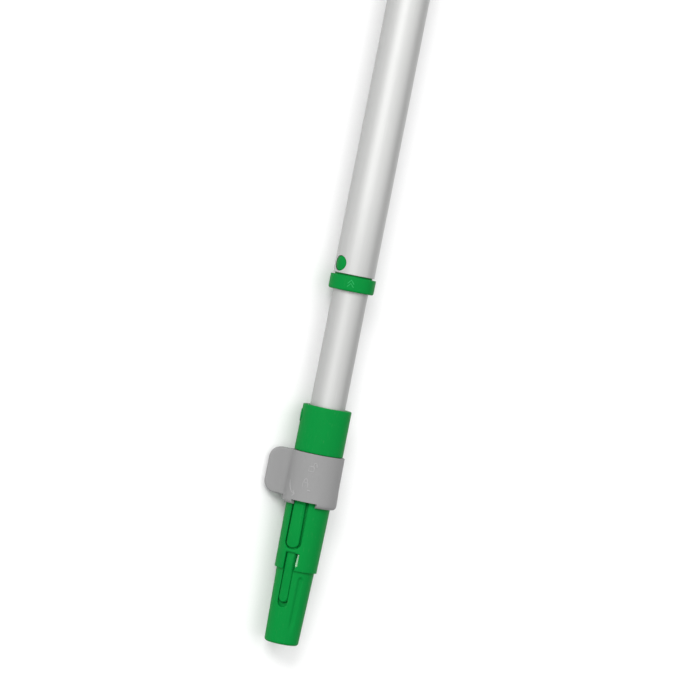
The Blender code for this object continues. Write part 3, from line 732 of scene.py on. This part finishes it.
def end_collar_mark():
    """Two raised chevrons on the end collar that point to the handle."""
    bm = bmesh.new()
    middle = (END_COLLAR_LOW + MOUTH) / 2
    spacing, reach = 0.0011, 8.0
    for shift in (-spacing, spacing):
        foot, peak = middle + shift - 0.0015, middle + shift + 0.0010
        arms = [(foot, -reach), (peak, 0.0), (foot, reach)]
        stroke(bm, arms, END_COLLAR_R, CHEVRON_WIDTH, CHEVRON_HEIGHT)
    mark = finished("end_collar_mark", bm, CHEVRON_ANGLE)
    # The chevrons are coloured lighter than the collar: a painted highlight on their raised strokes.
    dress(mark, "outer_section", "green_plastic", finish="worn_green_plastic")


def bend_to_tube(item, angle):
    """Lower a post's top toward its sides so that it follows the tube's round surface."""
    back = Matrix.Rotation(radians(-angle), 4, "X")
    item.data.transform(back)
    for vert in item.data.vertices:
        vert.co.z -= OUTER_R - sqrt(OUTER_R**2 - vert.co.y**2)
    item.data.transform(back.inverted())


def cone_r(station):
    """Radius of the narrow tool cone."""
    share = (station - TIP_ROUNDING) / (SHOULDER - TIP_ROUNDING)
    return TIP_R + (SHOULDER_CONE_R - TIP_R) * share


def barrel_r(station):
    """Radius of the barrel behind the tool shoulder."""
    low, high, first, last = SHOULDER, BARREL_MID, BARREL_FRONT_R, BARREL_MID_R
    if station > BARREL_MID:
        low, high, first, last = BARREL_MID, COLLAR_LOW, BARREL_MID_R, SEAT_R
    return first + (last - first) * min(1.0, (station - low) / (high - low))


def fluted(station, r, angle):
    """The shallow flute down the tool cone, with soft sides, an arched top and a fading foot."""
    off = abs((angle - FLUTE_ANGLE + 180.0) % 360.0 - 180.0) / FLUTE_HALF_ANGLE
    inside = r < cone_r(station) - FLUTE_DEPTH
    if off >= 1.0 or inside or not FLUTE[0] < station < FLUTE[1]:
        return r
    arch = FLUTE[1] - FLUTE_ARCH * (1.0 - sqrt(1.0 - off * off))
    top = min(1.0, max(0.0, (arch - station) / FLUTE_TOP_FADE))
    foot = min(1.0, (station - FLUTE[0]) / FLUTE_FOOT_FADE)
    fade = prod(t * t * (3.0 - 2.0 * t) for t in (top, foot, 1.0 - off))
    return r - FLUTE_DEPTH * fade


def cone_profile():
    """The cone's (station, radius) outline from its rounded tip, over the outside, back through the bore."""
    cone_step, body_step = 0.0007, 0.0030
    tip = [(station, TIP_R - inset) for station, inset in quarter(TIP_ROUNDING, 8)]
    cone = refine([tip[0], (SHOULDER - CRISP_EDGE, cone_r(SHOULDER))], cone_step, 0.0, SHOULDER)
    ring_low, ring_high = RING_LOW - GAP, RING_HIGH + GAP
    tube_stop = INNER_FRONT - SEAT_GAP
    outline = [
        (SHOULDER, cone_r(SHOULDER), 0),
        (SHOULDER, BARREL_FRONT_R, CRISP_EDGE),
        (BARREL_MID, BARREL_MID_R, BROAD_EDGE),
        (COLLAR_LOW, SEAT_R, BROAD_EDGE),
        (ring_low, SEAT_R, 0),
        (ring_low, RING_SEAT_R, 0),
        (ring_high, RING_SEAT_R, 0),
        (ring_high, SEAT_R, 0),
        (SLEEVE_STEP, SEAT_R, 0),
        (SLEEVE_STEP, SLEEVE_R, CRISP_EDGE),
        (SLEEVE_END, SLEEVE_R, ROUND_EDGE),
        (SLEEVE_END, SLEEVE_BORE_R, CRISP_EDGE),
        (tube_stop, SLEEVE_BORE_R, 0),
        (tube_stop, HOLLOW_R, 0),
        (TIP_HOLLOW + HOLLOW_R - TIP_HOLLOW_R, HOLLOW_R, 0),
        (TIP_HOLLOW, TIP_HOLLOW_R, 0),
        (TIP_WALL, TIP_HOLLOW_R, WORN_EDGE),
        (TIP_WALL, 0, 0),
    ]
    body = refine(soften(outline, loop=False), body_step, SHOULDER, SLEEVE_END)
    return [(0.0, 0)] + list(reversed(tip)) + cone[1:] + body


def scoop_wedge(facing):
    """Cutter for the small bright flat beside the finger. The flat faces the given direction."""
    turn = Matrix.Rotation(radians(LATCH_ANGLE), 3, "X")
    lean = turn.inverted() @ facing
    side = sum(SCOOP_ACROSS) / 2
    edge = sqrt(barrel_r(SCOOP[0]) ** 2 - side**2)
    ends = (SCOOP[0] - SCOOP_OVERRUN, SCOOP[1])
    wedge = bmesh.new()
    walls = []
    for y in SCOOP_ACROSS:
        floor_z = [edge - (lean.x * (SCOOP[0] - s) + lean.y * (y - side)) / lean.z for s in ends]
        corners = list(zip(ends, floor_z)) + [(ends[1], ROOF), (ends[0], ROOF)]
        walls.append([wedge.verts.new((-s, y, z)) for s, z in corners])
    close_rows(wedge, walls)
    return finished("scoop_cut", wedge, LATCH_ANGLE)


def slot_outlines():
    """Outlines of the latch's slots: the paddle's, the finger's two and its well. Neighbours differ by a
    hair, so that no two walls coincide."""
    paddle_end = PADDLE_ROUNDING + PADDLE_GAP
    paddle = tongue(PADDLE_LOW, PADDLE_HIGH + PADDLE_GAP, PADDLE_SLOT_HALF, paddle_end)
    half = FINGER_SLOT_HALF
    finger = tongue(FINGER_SLOT_LOW, SHOULDER + SEAT_GAP, half, half)
    wall, wide_wall = half + NEAR, half + SHOULDER_STEP
    front, slope = SHOULDER - 0.004, 0.001
    upper = [(front, -wall), (FINGER_SLOT_HIGH, -wall), (FINGER_SLOT_HIGH, wide_wall),
             (SHOULDER + slope, wide_wall), (SHOULDER - slope, wall), (front, wall)]
    well = tongue(FINGER_LOW - WELL_GAP, FINGER_SLOT_HIGH - NEAR, half - NEAR, half)
    return paddle, finger, upper, well


def cone_body():
    """The cone with its spring web, the slots for the latch, the pin's bore and the button's hole."""
    body = lathe("cone_body_skin", cone_profile(), FINE_STEPS, fluted)
    paddle, finger, upper, well = slot_outlines()
    turns = [tau * k / SMALL_STEPS for k in range(SMALL_STEPS)]
    disc = [(BUTTON_STATION + BUTTON_HOLE_R * cos(t), BUTTON_HOLE_R * sin(t)) for t in turns]
    neck = (FINGER_SLOT_HIGH - 0.001, PADDLE_LOW + PADDLE_ROUNDING)
    neck_wall = FINGER_SLOT_HALF - 2 * NEAR
    neck_heights = (WELL_FLOOR + NEAR, BRIDGE_UNDER_R)
    reach = PIN_HALF_LENGTH + SEAT_GAP
    facing = out_from(SCOOP_ANGLE, SCOOP_TILT)
    web = block("spring_web", WEB, (-WEB_HALF, WEB_HALF), WEB_HEIGHT)
    cuts = [
        slug("paddle_cut", paddle, rim_levels(WORN_EDGE, 1, 5), barrel_r, WELL_FLOOR),
        slug("finger_cut", finger, rim_levels(FINGER_RIM, 1), cone_r, POCKET_FLOOR),
        slug("barrel_finger_cut", upper, rim_levels(ROUND_EDGE, 1, 6), barrel_r, POCKET_FLOOR + NEAR),
        scoop_wedge(facing),
        slug("finger_well", well, [(0.0, 0.0)], lambda s: POCKET_FLOOR, WELL_FLOOR - NEAR),
        block("neck_cut", neck, (-neck_wall, neck_wall), neck_heights),
        drill("pin_drill", -reach, reach, PIN_HOLE_R, PIVOT, LATCH_ANGLE, PIN_STEPS, "Y"),
        slug("button_cut", disc, rim_levels(CRISP_EDGE, 1), lambda s: SLEEVE_R, BUTTON_CUT, BUTTON_ANGLE),
    ]
    carve(body, cuts, joins=[web])
    dress(body, "inner_section", "green_plastic", "cone_body")
    body.data.materials.append(MATERIALS["polished_green_plastic"])
    for face in body.data.polygons:
        in_scoop = SCOOP[0] - SCOOP_OVERRUN < -face.center.x < SCOOP[1]
        if in_scoop and face.normal.dot(facing) > SCOOP_MATCH:
            face.material_index = 1
            face.use_smooth = False


def latch_layer(name, marks, outline, rounding, drop, lift):
    """One layer of the latch: its top follows (station, radius) marks, lowered by the drop."""
    section = [(marks[0][0], FINGER_UNDER_R + lift)] + [(station, r - drop) for station, r in marks]
    section += [(marks[-1][0], LATCH_UNDER_R + lift), (TIP_HOLLOW + 0.002, LATCH_UNDER_R + lift),
                (TIP_HOLLOW, FINGER_UNDER_R + lift)]

    def top(station):
        for (low, r), (high, q) in zip(marks, marks[1:]):
            if station <= high:
                break
        return r + (q - r) * (station - low) / (high - low) - drop

    layer = lathe(name, section, FINE_STEPS)
    carve(layer, within=[slug("latch_plug", outline, rim_levels(rounding, -1, 8), top, PLUG_FLOOR)])
    return layer


def latch_bump():
    """The block on the latch's tail that rides in the collar's spiral pocket."""
    low, high = BUMP
    outline = [(low, -BUMP_HALF), (high, -BUMP_HALF), (high, BUMP_HALF), (low, BUMP_HALF)]
    bump = bmesh.new()
    rows = []
    levels = [(BUMP_FOOT, 0.0), (BUMP_R - 0.0008, 0.0), (BUMP_R - 0.0002, -0.0003), (BUMP_R, -0.0009)]
    for height, growth in levels:
        rows.append([bump.verts.new((-s, y, height)) for s, y in grown(outline, growth)])
    close_rows(bump, rows)
    return finished("latch_bump", bump, LATCH_ANGLE)


def latch():
    """The rocker: a narrow finger ahead of a wide paddle, each on a lower lip that nearly fills its slot."""
    low = PADDLE_LOW + PADDLE_GAP
    finger_marks = [
        (FINGER_LOW - 0.002, cone_r(FINGER_LOW - 0.002)),
        (SHOULDER - 0.0005, cone_r(SHOULDER)),
        (SHOULDER + 0.0012, FINGER_BARREL_R),
        (FINGER_SLOT_HIGH - 0.0015, FINGER_BARREL_R),
        (FINGER_SLOT_HIGH - 0.0003, NECK_R),
        (LATCH_ROOT + 0.001, NECK_R),
    ]
    paddle_marks = [
        (low - 0.001, barrel_r(low - 0.001)),
        (BARREL_MID, BARREL_MID_R),
        (COLLAR_LOW + 0.0008, barrel_r(COLLAR_LOW)),
        (COLLAR_LOW + 0.0012, TAIL_R),
        (PADDLE_HIGH + 0.001, TAIL_R),
    ]
    paddle = tongue(low, PADDLE_HIGH, PADDLE_HALF - PADDLE_SHIFT, PADDLE_ROUNDING)
    paddle = [(s, y - PADDLE_SHIFT) for s, y in paddle]
    paddle[-1] = (PADDLE_HIGH, paddle[-1][1] - PADDLE_TAPER)
    wide, narrow = PADDLE_HALF + PADDLE_LIP, FINGER_HALF + FINGER_LIP
    paddle_lip = tongue(low - PADDLE_LIP, PADDLE_HIGH + PADDLE_LIP, wide, PADDLE_ROUNDING)
    finger_lip = tongue(FINGER_LOW - FINGER_LIP, LATCH_ROOT, narrow, narrow)
    finger = tongue(FINGER_LOW, LATCH_ROOT, FINGER_HALF, FINGER_HALF)
    rocker = latch_layer("latch_skin", finger_marks, finger, FINGER_EDGE, 0.0, 0.0)
    parts = [
        latch_layer("latch_finger_lip", finger_marks, finger_lip, LIP_EDGE, FINGER_LIP_DEPTH, NEAR),
        latch_layer("latch_paddle_lip", paddle_marks, paddle_lip, LIP_EDGE, PADDLE_LIP_DEPTH, 2 * NEAR),
        latch_layer("latch_paddle", paddle_marks, paddle, PADDLE_EDGE, 0.0, 3 * NEAR),
        latch_bump(),
    ]
    hole = drill("latch_pin_drill", -ROOF, ROOF, PIN_HOLE_R, PIVOT, LATCH_ANGLE, PIN_STEPS, "Y")
    carve(rocker, [hole], joins=parts)
    dress(rocker, "rocker", "green_plastic", "latch")


def collar_r(station):
    """Outer radius of the lock collar's ring: a round low lip, a slight taper and a nearly straight top."""
    up = station - COLLAR_LOW
    if up < COLLAR_LIP_LENGTH:
        return COLLAR_LOW_R - COLLAR_LIP * (1 - sqrt(1 - (1 - up / COLLAR_LIP_LENGTH) ** 2))
    if up < COLLAR_TAPER:
        rise = COLLAR_TOP_R + COLLAR_SWELL - COLLAR_LOW_R
        return COLLAR_LOW_R + rise * (up - COLLAR_LIP_LENGTH) / (COLLAR_TAPER - COLLAR_LIP_LENGTH)
    straight = COLLAR_HIGH - COLLAR_LOW - COLLAR_TAPER
    return COLLAR_TOP_R + COLLAR_SWELL * (COLLAR_HIGH - station) / straight


def rim_loss(depth):
    """How far a rounded edge stands in from its full thickness at a depth from the edge."""
    if depth >= TAB_RIM:
        return 0.0
    return TAB_RIM - sqrt(TAB_RIM**2 - (TAB_RIM - depth) ** 2)


def collar_half(ring_r, offset):
    """Half of the collar's section as (across, up) points from the far side to the tab's crest.
    Offset is the distance from the tab's nearest end, or None where there is no tab."""
    ring_steps, fillet_steps, flank_steps, rim_steps = 72, 10, 6, 6
    half = TAB_HALF - rim_loss(max(0.0, offset or 0.0))
    reach, spread_y = ring_r + TAB_FILLET, half + TAB_FILLET
    rise = sqrt(reach**2 - spread_y**2)
    foot = atan2(spread_y, rise)
    turns = [pi + (foot - pi) * k / ring_steps for k in range(ring_steps + 1)]
    if offset is None:
        extra = fillet_steps + flank_steps + rim_steps + 1
        turns += [foot * (1 - k / extra) for k in range(1, extra + 1)]
    points = [(ring_r * sin(t), ring_r * cos(t)) for t in turns]
    if offset is None:
        return points
    start = atan2(-rise, -spread_y)
    for k in range(1, fillet_steps + 1):
        turn = start + (-pi - start) * k / fillet_steps
        points.append((spread_y + TAB_FILLET * cos(turn), rise + TAB_FILLET * sin(turn)))
    top = TAB_REACH
    if offset < TAB_CORNER:
        top += sqrt(TAB_CORNER**2 - (TAB_CORNER - offset) ** 2) - TAB_CORNER
    heights = [rise + (top - TAB_RIM - rise) * k / flank_steps for k in range(1, flank_steps + 1)]
    heights += [top - TAB_RIM * (1 - sin(pi / 2 * k / rim_steps)) for k in range(1, rim_steps + 1)]
    corner = TAB_REACH - TAB_CORNER
    for z in heights:
        depth = min(offset, TAB_REACH - z)
        if offset < TAB_CORNER and z > corner:
            depth = TAB_CORNER - hypot(TAB_CORNER - offset, z - corner)
        points.append((TAB_HALF - rim_loss(max(0.0, depth)), z))
    points.append((0.0, points[-1][1]))
    return points


def collar_rows():
    """(station, offset from the tab's nearest end or None) of the collar's outer rows."""
    lip = [(COLLAR_LOW + up, None) for _, up in quarter(COLLAR_LIP_LENGTH, 10)]
    plain = [(COLLAR_LOW + up, None) for up in (0.0034, 0.0038, 0.0041)] + [(TAB_LOW, None)]
    near = [inset for _, inset in quarter(TAB_RIM, 6)]
    far = [inset for _, inset in quarter(TAB_CORNER, 14) if inset > TAB_RIM * 1.05]
    offsets = sorted(near + far)
    width = COLLAR_HIGH - TAB_LOW
    middle = [TAB_CORNER + (width - 2 * TAB_CORNER) * k / 8 for k in range(1, 8)]
    stations = [TAB_LOW + o for o in offsets + middle] + [COLLAR_HIGH - o for o in reversed(offsets)]
    return lip + plain + [(s, max(0.0, min(s - TAB_LOW, COLLAR_HIGH - s))) for s in stations]


def collar_ring_row(bm, station, half):
    """A closed row of vertices from half of the collar's section."""
    points = half + [(-y, z) for y, z in reversed(half[1:-1])]
    return [bm.verts.new((-station, y, z)) for y, z in points]


def collar_shell():
    """The collar before its cuts: the outside with the tab, and the bore with the wire ring's groove."""
    bm = bmesh.new()
    rows = []
    for station, offset in collar_rows():
        broken = max(0.0, COLLAR_EDGE - (COLLAR_HIGH - station))
        r = collar_r(station) - (COLLAR_EDGE - sqrt(COLLAR_EDGE**2 - broken**2))
        rows.append(collar_ring_row(bm, station, collar_half(r, offset)))
    bore = [
        (COLLAR_HIGH, COLLAR_BORE_R + CRISP_EDGE),
        (COLLAR_HIGH - CRISP_EDGE, COLLAR_BORE_R),
        (RING_HIGH + GAP, COLLAR_BORE_R),
        (RING_HIGH + GAP, RING_BED_R),
        (RING_LOW - GAP, RING_BED_R),
        (RING_LOW - GAP, COLLAR_BORE_R),
        (COLLAR_LOW, COLLAR_BORE_R),
    ]
    for station, r in bore:
        scale = r / COLLAR_TOP_R
        half = [(y * scale, z * scale) for y, z in collar_half(COLLAR_TOP_R, None)]
        rows.append(collar_ring_row(bm, station, half))
    bridge_rows(bm, rows + rows[:1])
    return finished("lock_collar_skin", bm, TAB_ANGLE)


def notch_cut():
    """Cutter for the notch in the collar's lower edge."""
    bm = bmesh.new()
    turns = [radians(NOTCH_HALF_ANGLE * (k / 5 - 1)) for k in range(11)]
    inner, outer = NOTCH_REACH
    ring = [(inner, t) for t in turns] + [(outer, t) for t in reversed(turns)]
    sides = []
    for station in (COLLAR_LOW - 0.001, COLLAR_LOW + COLLAR_NOTCH):
        sides.append([bm.verts.new((-station, r * sin(t), r * cos(t))) for r, t in ring])
    close_rows(bm, sides)
    return finished("notch_cut", bm, NOTCH_ANGLE)


def pocket_cut():
    """Cutter for the spiral pocket in the bore, which presses the latch's tail as the collar turns."""
    bm = bmesh.new()
    slices = []
    steps = 40
    turn_range = JOINTS["collar_turn"]["range_deg"][1]
    for k in range(steps + 1):
        angle = -POCKET_LEAD + (turn_range + 2 * POCKET_LEAD) * k / steps
        outer = POCKET_R[0] + (POCKET_R[1] - POCKET_R[0]) * angle / turn_range
        turn = radians(angle)
        corners = [(s, POCKET_INNER_R) for s in POCKET] + [(s, outer) for s in reversed(POCKET)]
        slices.append([bm.verts.new((-s, -r * sin(turn), r * cos(turn))) for s, r in corners])
    close_rows(bm, slices)
    return finished("pocket_cut", bm, LATCH_ANGLE)


def lock_collar():
    collar = collar_shell()
    carve(collar, [notch_cut(), pocket_cut()])
    dress(collar, "collar", "grey_plastic", "lock_collar")
    collar_marks()


def padlock(bm, station, angle, hoop_shift):
    """A small padlock sign: its box and its hoop, which stands aside when the lock is open."""
    half, length, surface = 5.5, 0.0032, COLLAR_TOP_R + 0.0001
    box = [(0.0, -half), (0.0, half), (-length, half), (-length, -half), (0.0, -half)]
    stroke(bm, [(station + s, angle + a) for s, a in box], surface)
    hoop_height, hoop_half, steps = 0.0026, 3.6, 12
    turns = [pi * k / steps for k in range(steps + 1)]
    middle = angle + hoop_shift
    hoop = [(station + hoop_height * sin(t), middle + hoop_half * cos(t)) for t in turns]
    stroke(bm, hoop, surface)


def collar_marks():
    """Raised signs: a curved arrow for the way the collar turns, a shut padlock, a dash and an open one."""
    bm = bmesh.new()
    surface = collar_r(COLLAR_LOW + 0.0090)
    low, length, side, sweep, steps = COLLAR_LOW + 0.0070, 0.0085, 15.0, 19.0, 14
    turns = [pi / 2 * k / steps for k in range(steps + 1)]
    bend = [(low + length * (1 - sin(t)), side + sweep * cos(t)) for t in turns]
    stroke(bm, bend, surface)
    head_s, head_a = bend[-1]
    for barb in (-0.0018, 0.0018):
        stroke(bm, [(head_s + barb, head_a + 5.5), (head_s, head_a)], surface)
    padlock(bm, COLLAR_LOW + 0.0158, -5.0, 0.0)
    stroke(bm, [(COLLAR_LOW + 0.0108, -19.0), (COLLAR_LOW + 0.0108, -11.0)], surface)
    padlock(bm, COLLAR_LOW + 0.0270, -12.0, -7.2)
    marks = finished("lock_collar_marks", bm, MARK_ANGLE)
    # The signs are a lighter grey than the collar: a painted highlight on their raised strokes.
    dress(marks, "collar", "grey_plastic", finish="worn_grey_plastic")


def release_button():
    """The round button: a flange that keeps it in, a rounded edge and a faint crown."""
    profile = [(BUTTON_FOOT, 0), (BUTTON_FOOT, BUTTON_FLANGE_R), (BUTTON_FLANGE, BUTTON_FLANGE_R),
               (BUTTON_FLANGE, BUTTON_R)]
    profile += [(BUTTON_FACE - drop, BUTTON_R - inset) for drop, inset in quarter(BUTTON_EDGE, 6)]
    for r in (0.0034, 0.0026, 0.0017, 0.0008, 0):
        profile.append((BUTTON_FACE + BUTTON_CROWN * (1 - (r / BUTTON_CROWN_R) ** 2), r))
    button = post("release_button_skin", profile, BUTTON_STATION, BUTTON_ANGLE)
    dress(button, "button", "green_plastic", "release_button")


def rings(share):
    """Height of the grip's rings over its smooth swell, at a share of its length."""
    if not GRIP_WORKED[0] < share < GRIP_WORKED[1]:
        return 0.0
    return GRIP_RING_DEPTH * abs(sin(pi * GRIP_RINGS * share)) ** 0.6 - GRIP_RING_DEPTH


def grip_swell(share):
    """Radius of the grip's smooth swell at a share of its length."""
    swell = [(0.0, GRIP_LEAD_R), (0.17, 0.0164), (0.47, 0.0172), (0.77, 0.0166), (0.96, GRIP_R)]
    for (a, r), (b, q) in zip(swell, swell[1:]):
        if a <= share <= b:
            t = (share - a) / (b - a)
            return r + (q - r) * t * t * (3 - 2 * t)
    return GRIP_R


def grip_flutes(station, r, angle):
    """Shallow flutes along the grip, so that it does not turn in the hand."""
    share = (station - GRIP_FRONT) / (GRIP_END - GRIP_FRONT)
    start, end = GRIP_WORKED
    if not start < share < end:
        return r
    fade = min(1.0, (share - start) / GRIP_FADE, (end - share) / GRIP_FADE)
    return r - GRIP_FLUTE_DEPTH * fade * max(0.0, cos(radians(GRIP_FLUTES * angle))) ** 4


def hand_grip():
    length = GRIP_END - GRIP_FRONT
    lead = [(GRIP_FRONT, GRIP_BORE_R), (GRIP_FRONT, GRIP_FACE_R)]
    lead_steps, steps, first, last = 6, 420, 12, 416
    for k in range(1, lead_steps + 1):
        rise = sin(pi / 2 * k / lead_steps)
        lead.append((GRIP_FRONT + GRIP_LEAD * rise, GRIP_LEAD_R - (GRIP_LEAD_R - GRIP_FACE_R) * (1 - rise)))
    rows = []
    for k in range(first, last + 1):
        share = k / steps
        rows.append((GRIP_FRONT + length * k / steps, grip_swell(share) + rings(share)))
    rim = ((0.0009, 0.0001), (0.0003, 0.0004), (0, 0.0011))
    edge = [(GRIP_END - back, GRIP_R - drop) for back, drop in rim]
    profile = lead + rows + edge + [(GRIP_END, GRIP_BORE_R)]
    grip = lathe("hand_grip_skin", profile, shape=grip_flutes)
    dress(grip, "outer_section", "grip_rubber", "hand_grip")


def end_cap():
    """A flange with a sloped rim and a ring groove in its face, on a hollow plug in the tube."""
    flange = OUTER_END + SEAT_GAP
    plug = OUTER_R - TUBE_WALL - GAP
    half_groove, slope, groove_depth = 0.0004, 0.0012, 0.0004
    outline = [
        (CAP_END, 0, 0),
        (CAP_END, CAP_GROOVE_R - half_groove, HAIR_EDGE),
        (CAP_END - groove_depth, CAP_GROOVE_R - half_groove / 2, HAIR_EDGE),
        (CAP_END - groove_depth, CAP_GROOVE_R + half_groove / 2, HAIR_EDGE),
        (CAP_END, CAP_GROOVE_R + half_groove, HAIR_EDGE),
        (CAP_END, CAP_FACE_R, WORN_EDGE),
        (CAP_END - slope, CAP_R, ROUND_EDGE),
        (flange, CAP_R, ROUND_EDGE),
        (flange, plug, FINE_EDGE),
        (CAP_FRONT, plug, SOFT_EDGE),
        (CAP_FRONT, CAP_BORE_R, FINE_EDGE),
        (flange, CAP_BORE_R, 0),
        (flange, 0, 0),
    ]
    cap = lathe("end_cap_skin", soften(outline, loop=False))
    dress(cap, "outer_section", "dark_green_plastic", "end_cap")


# The CAD nodes that stay, by their finish.
KEPT = {
    "spring_steel": ("latch_pin", "latch_spring", "button_clip", "collar_ring"),
    "zinc_steel": ("spindle", "end_washer", "end_screw"),
    "black_plastic": ("spindle_plug", "wedge_nut"),
    "natural_nylon": ("expander", "friction_ring"),
}


def kept_nodes():
    for finish, nodes in KEPT.items():
        for item in (frame["nodes"][node] for node in nodes):
            smooth(item, CAD_SMOOTH_ANGLE)
            item.data.materials.clear()
            item.data.materials.append(MATERIALS[finish])


# ---- Stage ----

FLOOR_HALF = 40.0
FLOOR_GAP = 0.0001


def stage_floor():
    """A wide plain floor just under the object."""
    half = FLOOR_HALF
    bm = bmesh.new()
    height = CAD_BOX[0].z - FLOOR_GAP
    corners = [(-half, -half), (half, -half), (half, half), (-half, half)]
    bm.faces.new([bm.verts.new((x, y, height)) for x, y in corners])
    floor = finished("floor", bm)
    material, tree, shader = new_material("floor_paper", 0.9, specular=0.1)
    grain = noise(tree, 900.0, detail=3.0)
    base = blend_colour(tree, grain, 1.0, (0.772, 0.772, 0.772), (0.788, 0.788, 0.788))
    tree.links.new(base, shader.inputs["Base Color"])
    shader.inputs["Emission Color"].default_value = (1.0, 1.0, 1.0, 1.0)
    shader.inputs["Emission Strength"].default_value = 0.02
    floor.data.materials.append(material)


# The camera looks square onto this angle of the pole, a little from the handle's side.
VIEW_ANGLE = 32.0
VIEW_TILT = 1.8
VIEW_ROLL = 11.23
VIEW_STATION = 0.2003
VIEW_SIDE = 0.00733
VIEW_WIDTH = 0.4682
LENS = 200.0
SENSOR = 36.0


def out_from(angle, tilt=0.0):
    """Direction square to the pole at an angle, leaning toward the handle by the tilt."""
    turn, lean = radians(angle), radians(tilt)
    return Vector((-sin(lean), -sin(turn) * cos(lean), cos(turn) * cos(lean)))


def stage_camera():
    back = out_from(VIEW_ANGLE, VIEW_TILT)
    along = Vector((-1.0, 0.0, 0.0))
    upright = (along - back * along.dot(back)).normalized()
    level = upright.cross(back)
    roll = radians(VIEW_ROLL)
    right = level * cos(roll) + upright * sin(roll)
    up = upright * cos(roll) - level * sin(roll)
    data = bpy.data.cameras.new("camera")
    data.lens = LENS
    data.sensor_width = SENSOR
    data.clip_start = 0.05
    data.clip_end = 200.0
    camera = placed("camera", data)
    target = Vector((-VIEW_STATION, 0.0, 0.0)) + right * VIEW_SIDE
    camera.matrix_world = Matrix((right, up, back)).transposed().to_4x4()
    camera.location = target + back * (VIEW_WIDTH * LENS / SENSOR)
    bpy.context.scene.camera = camera


def soft_sun(name, angle, tilt, strength, size_deg):
    """A broad white light that shines from an angle round the pole."""
    data = bpy.data.lights.new(name, "SUN")
    data.energy = strength
    data.angle = radians(size_deg)
    light = placed(name, data)
    light.rotation_mode = "QUATERNION"
    light.rotation_quaternion = out_from(angle, tilt).to_track_quat("Z", "Y")


def stage_light():
    world = bpy.data.worlds.new("studio")
    world.use_nodes = True
    background = world.node_tree.nodes["Background"]
    background.inputs["Color"].default_value = (1.0, 1.0, 1.0, 1.0)
    background.inputs["Strength"].default_value = 0.50
    bpy.context.scene.world = world
    soft_sun("key", 42.0, 30.0, 1.76, 24.0)
    soft_sun("front", 22.0, 20.0, 1.20, 76.0)
    soft_sun("side", -27.0, 16.0, 0.93, 62.0)
    soft_sun("left", 68.0, 12.0, 0.70, 50.0)
    bpy.context.scene.view_settings.view_transform = "Standard"


tubes()
end_collar()
cone_body()
latch()
lock_collar()
release_button()
hand_grip()
end_cap()
kept_nodes()
stage_floor()
stage_camera()
stage_light()
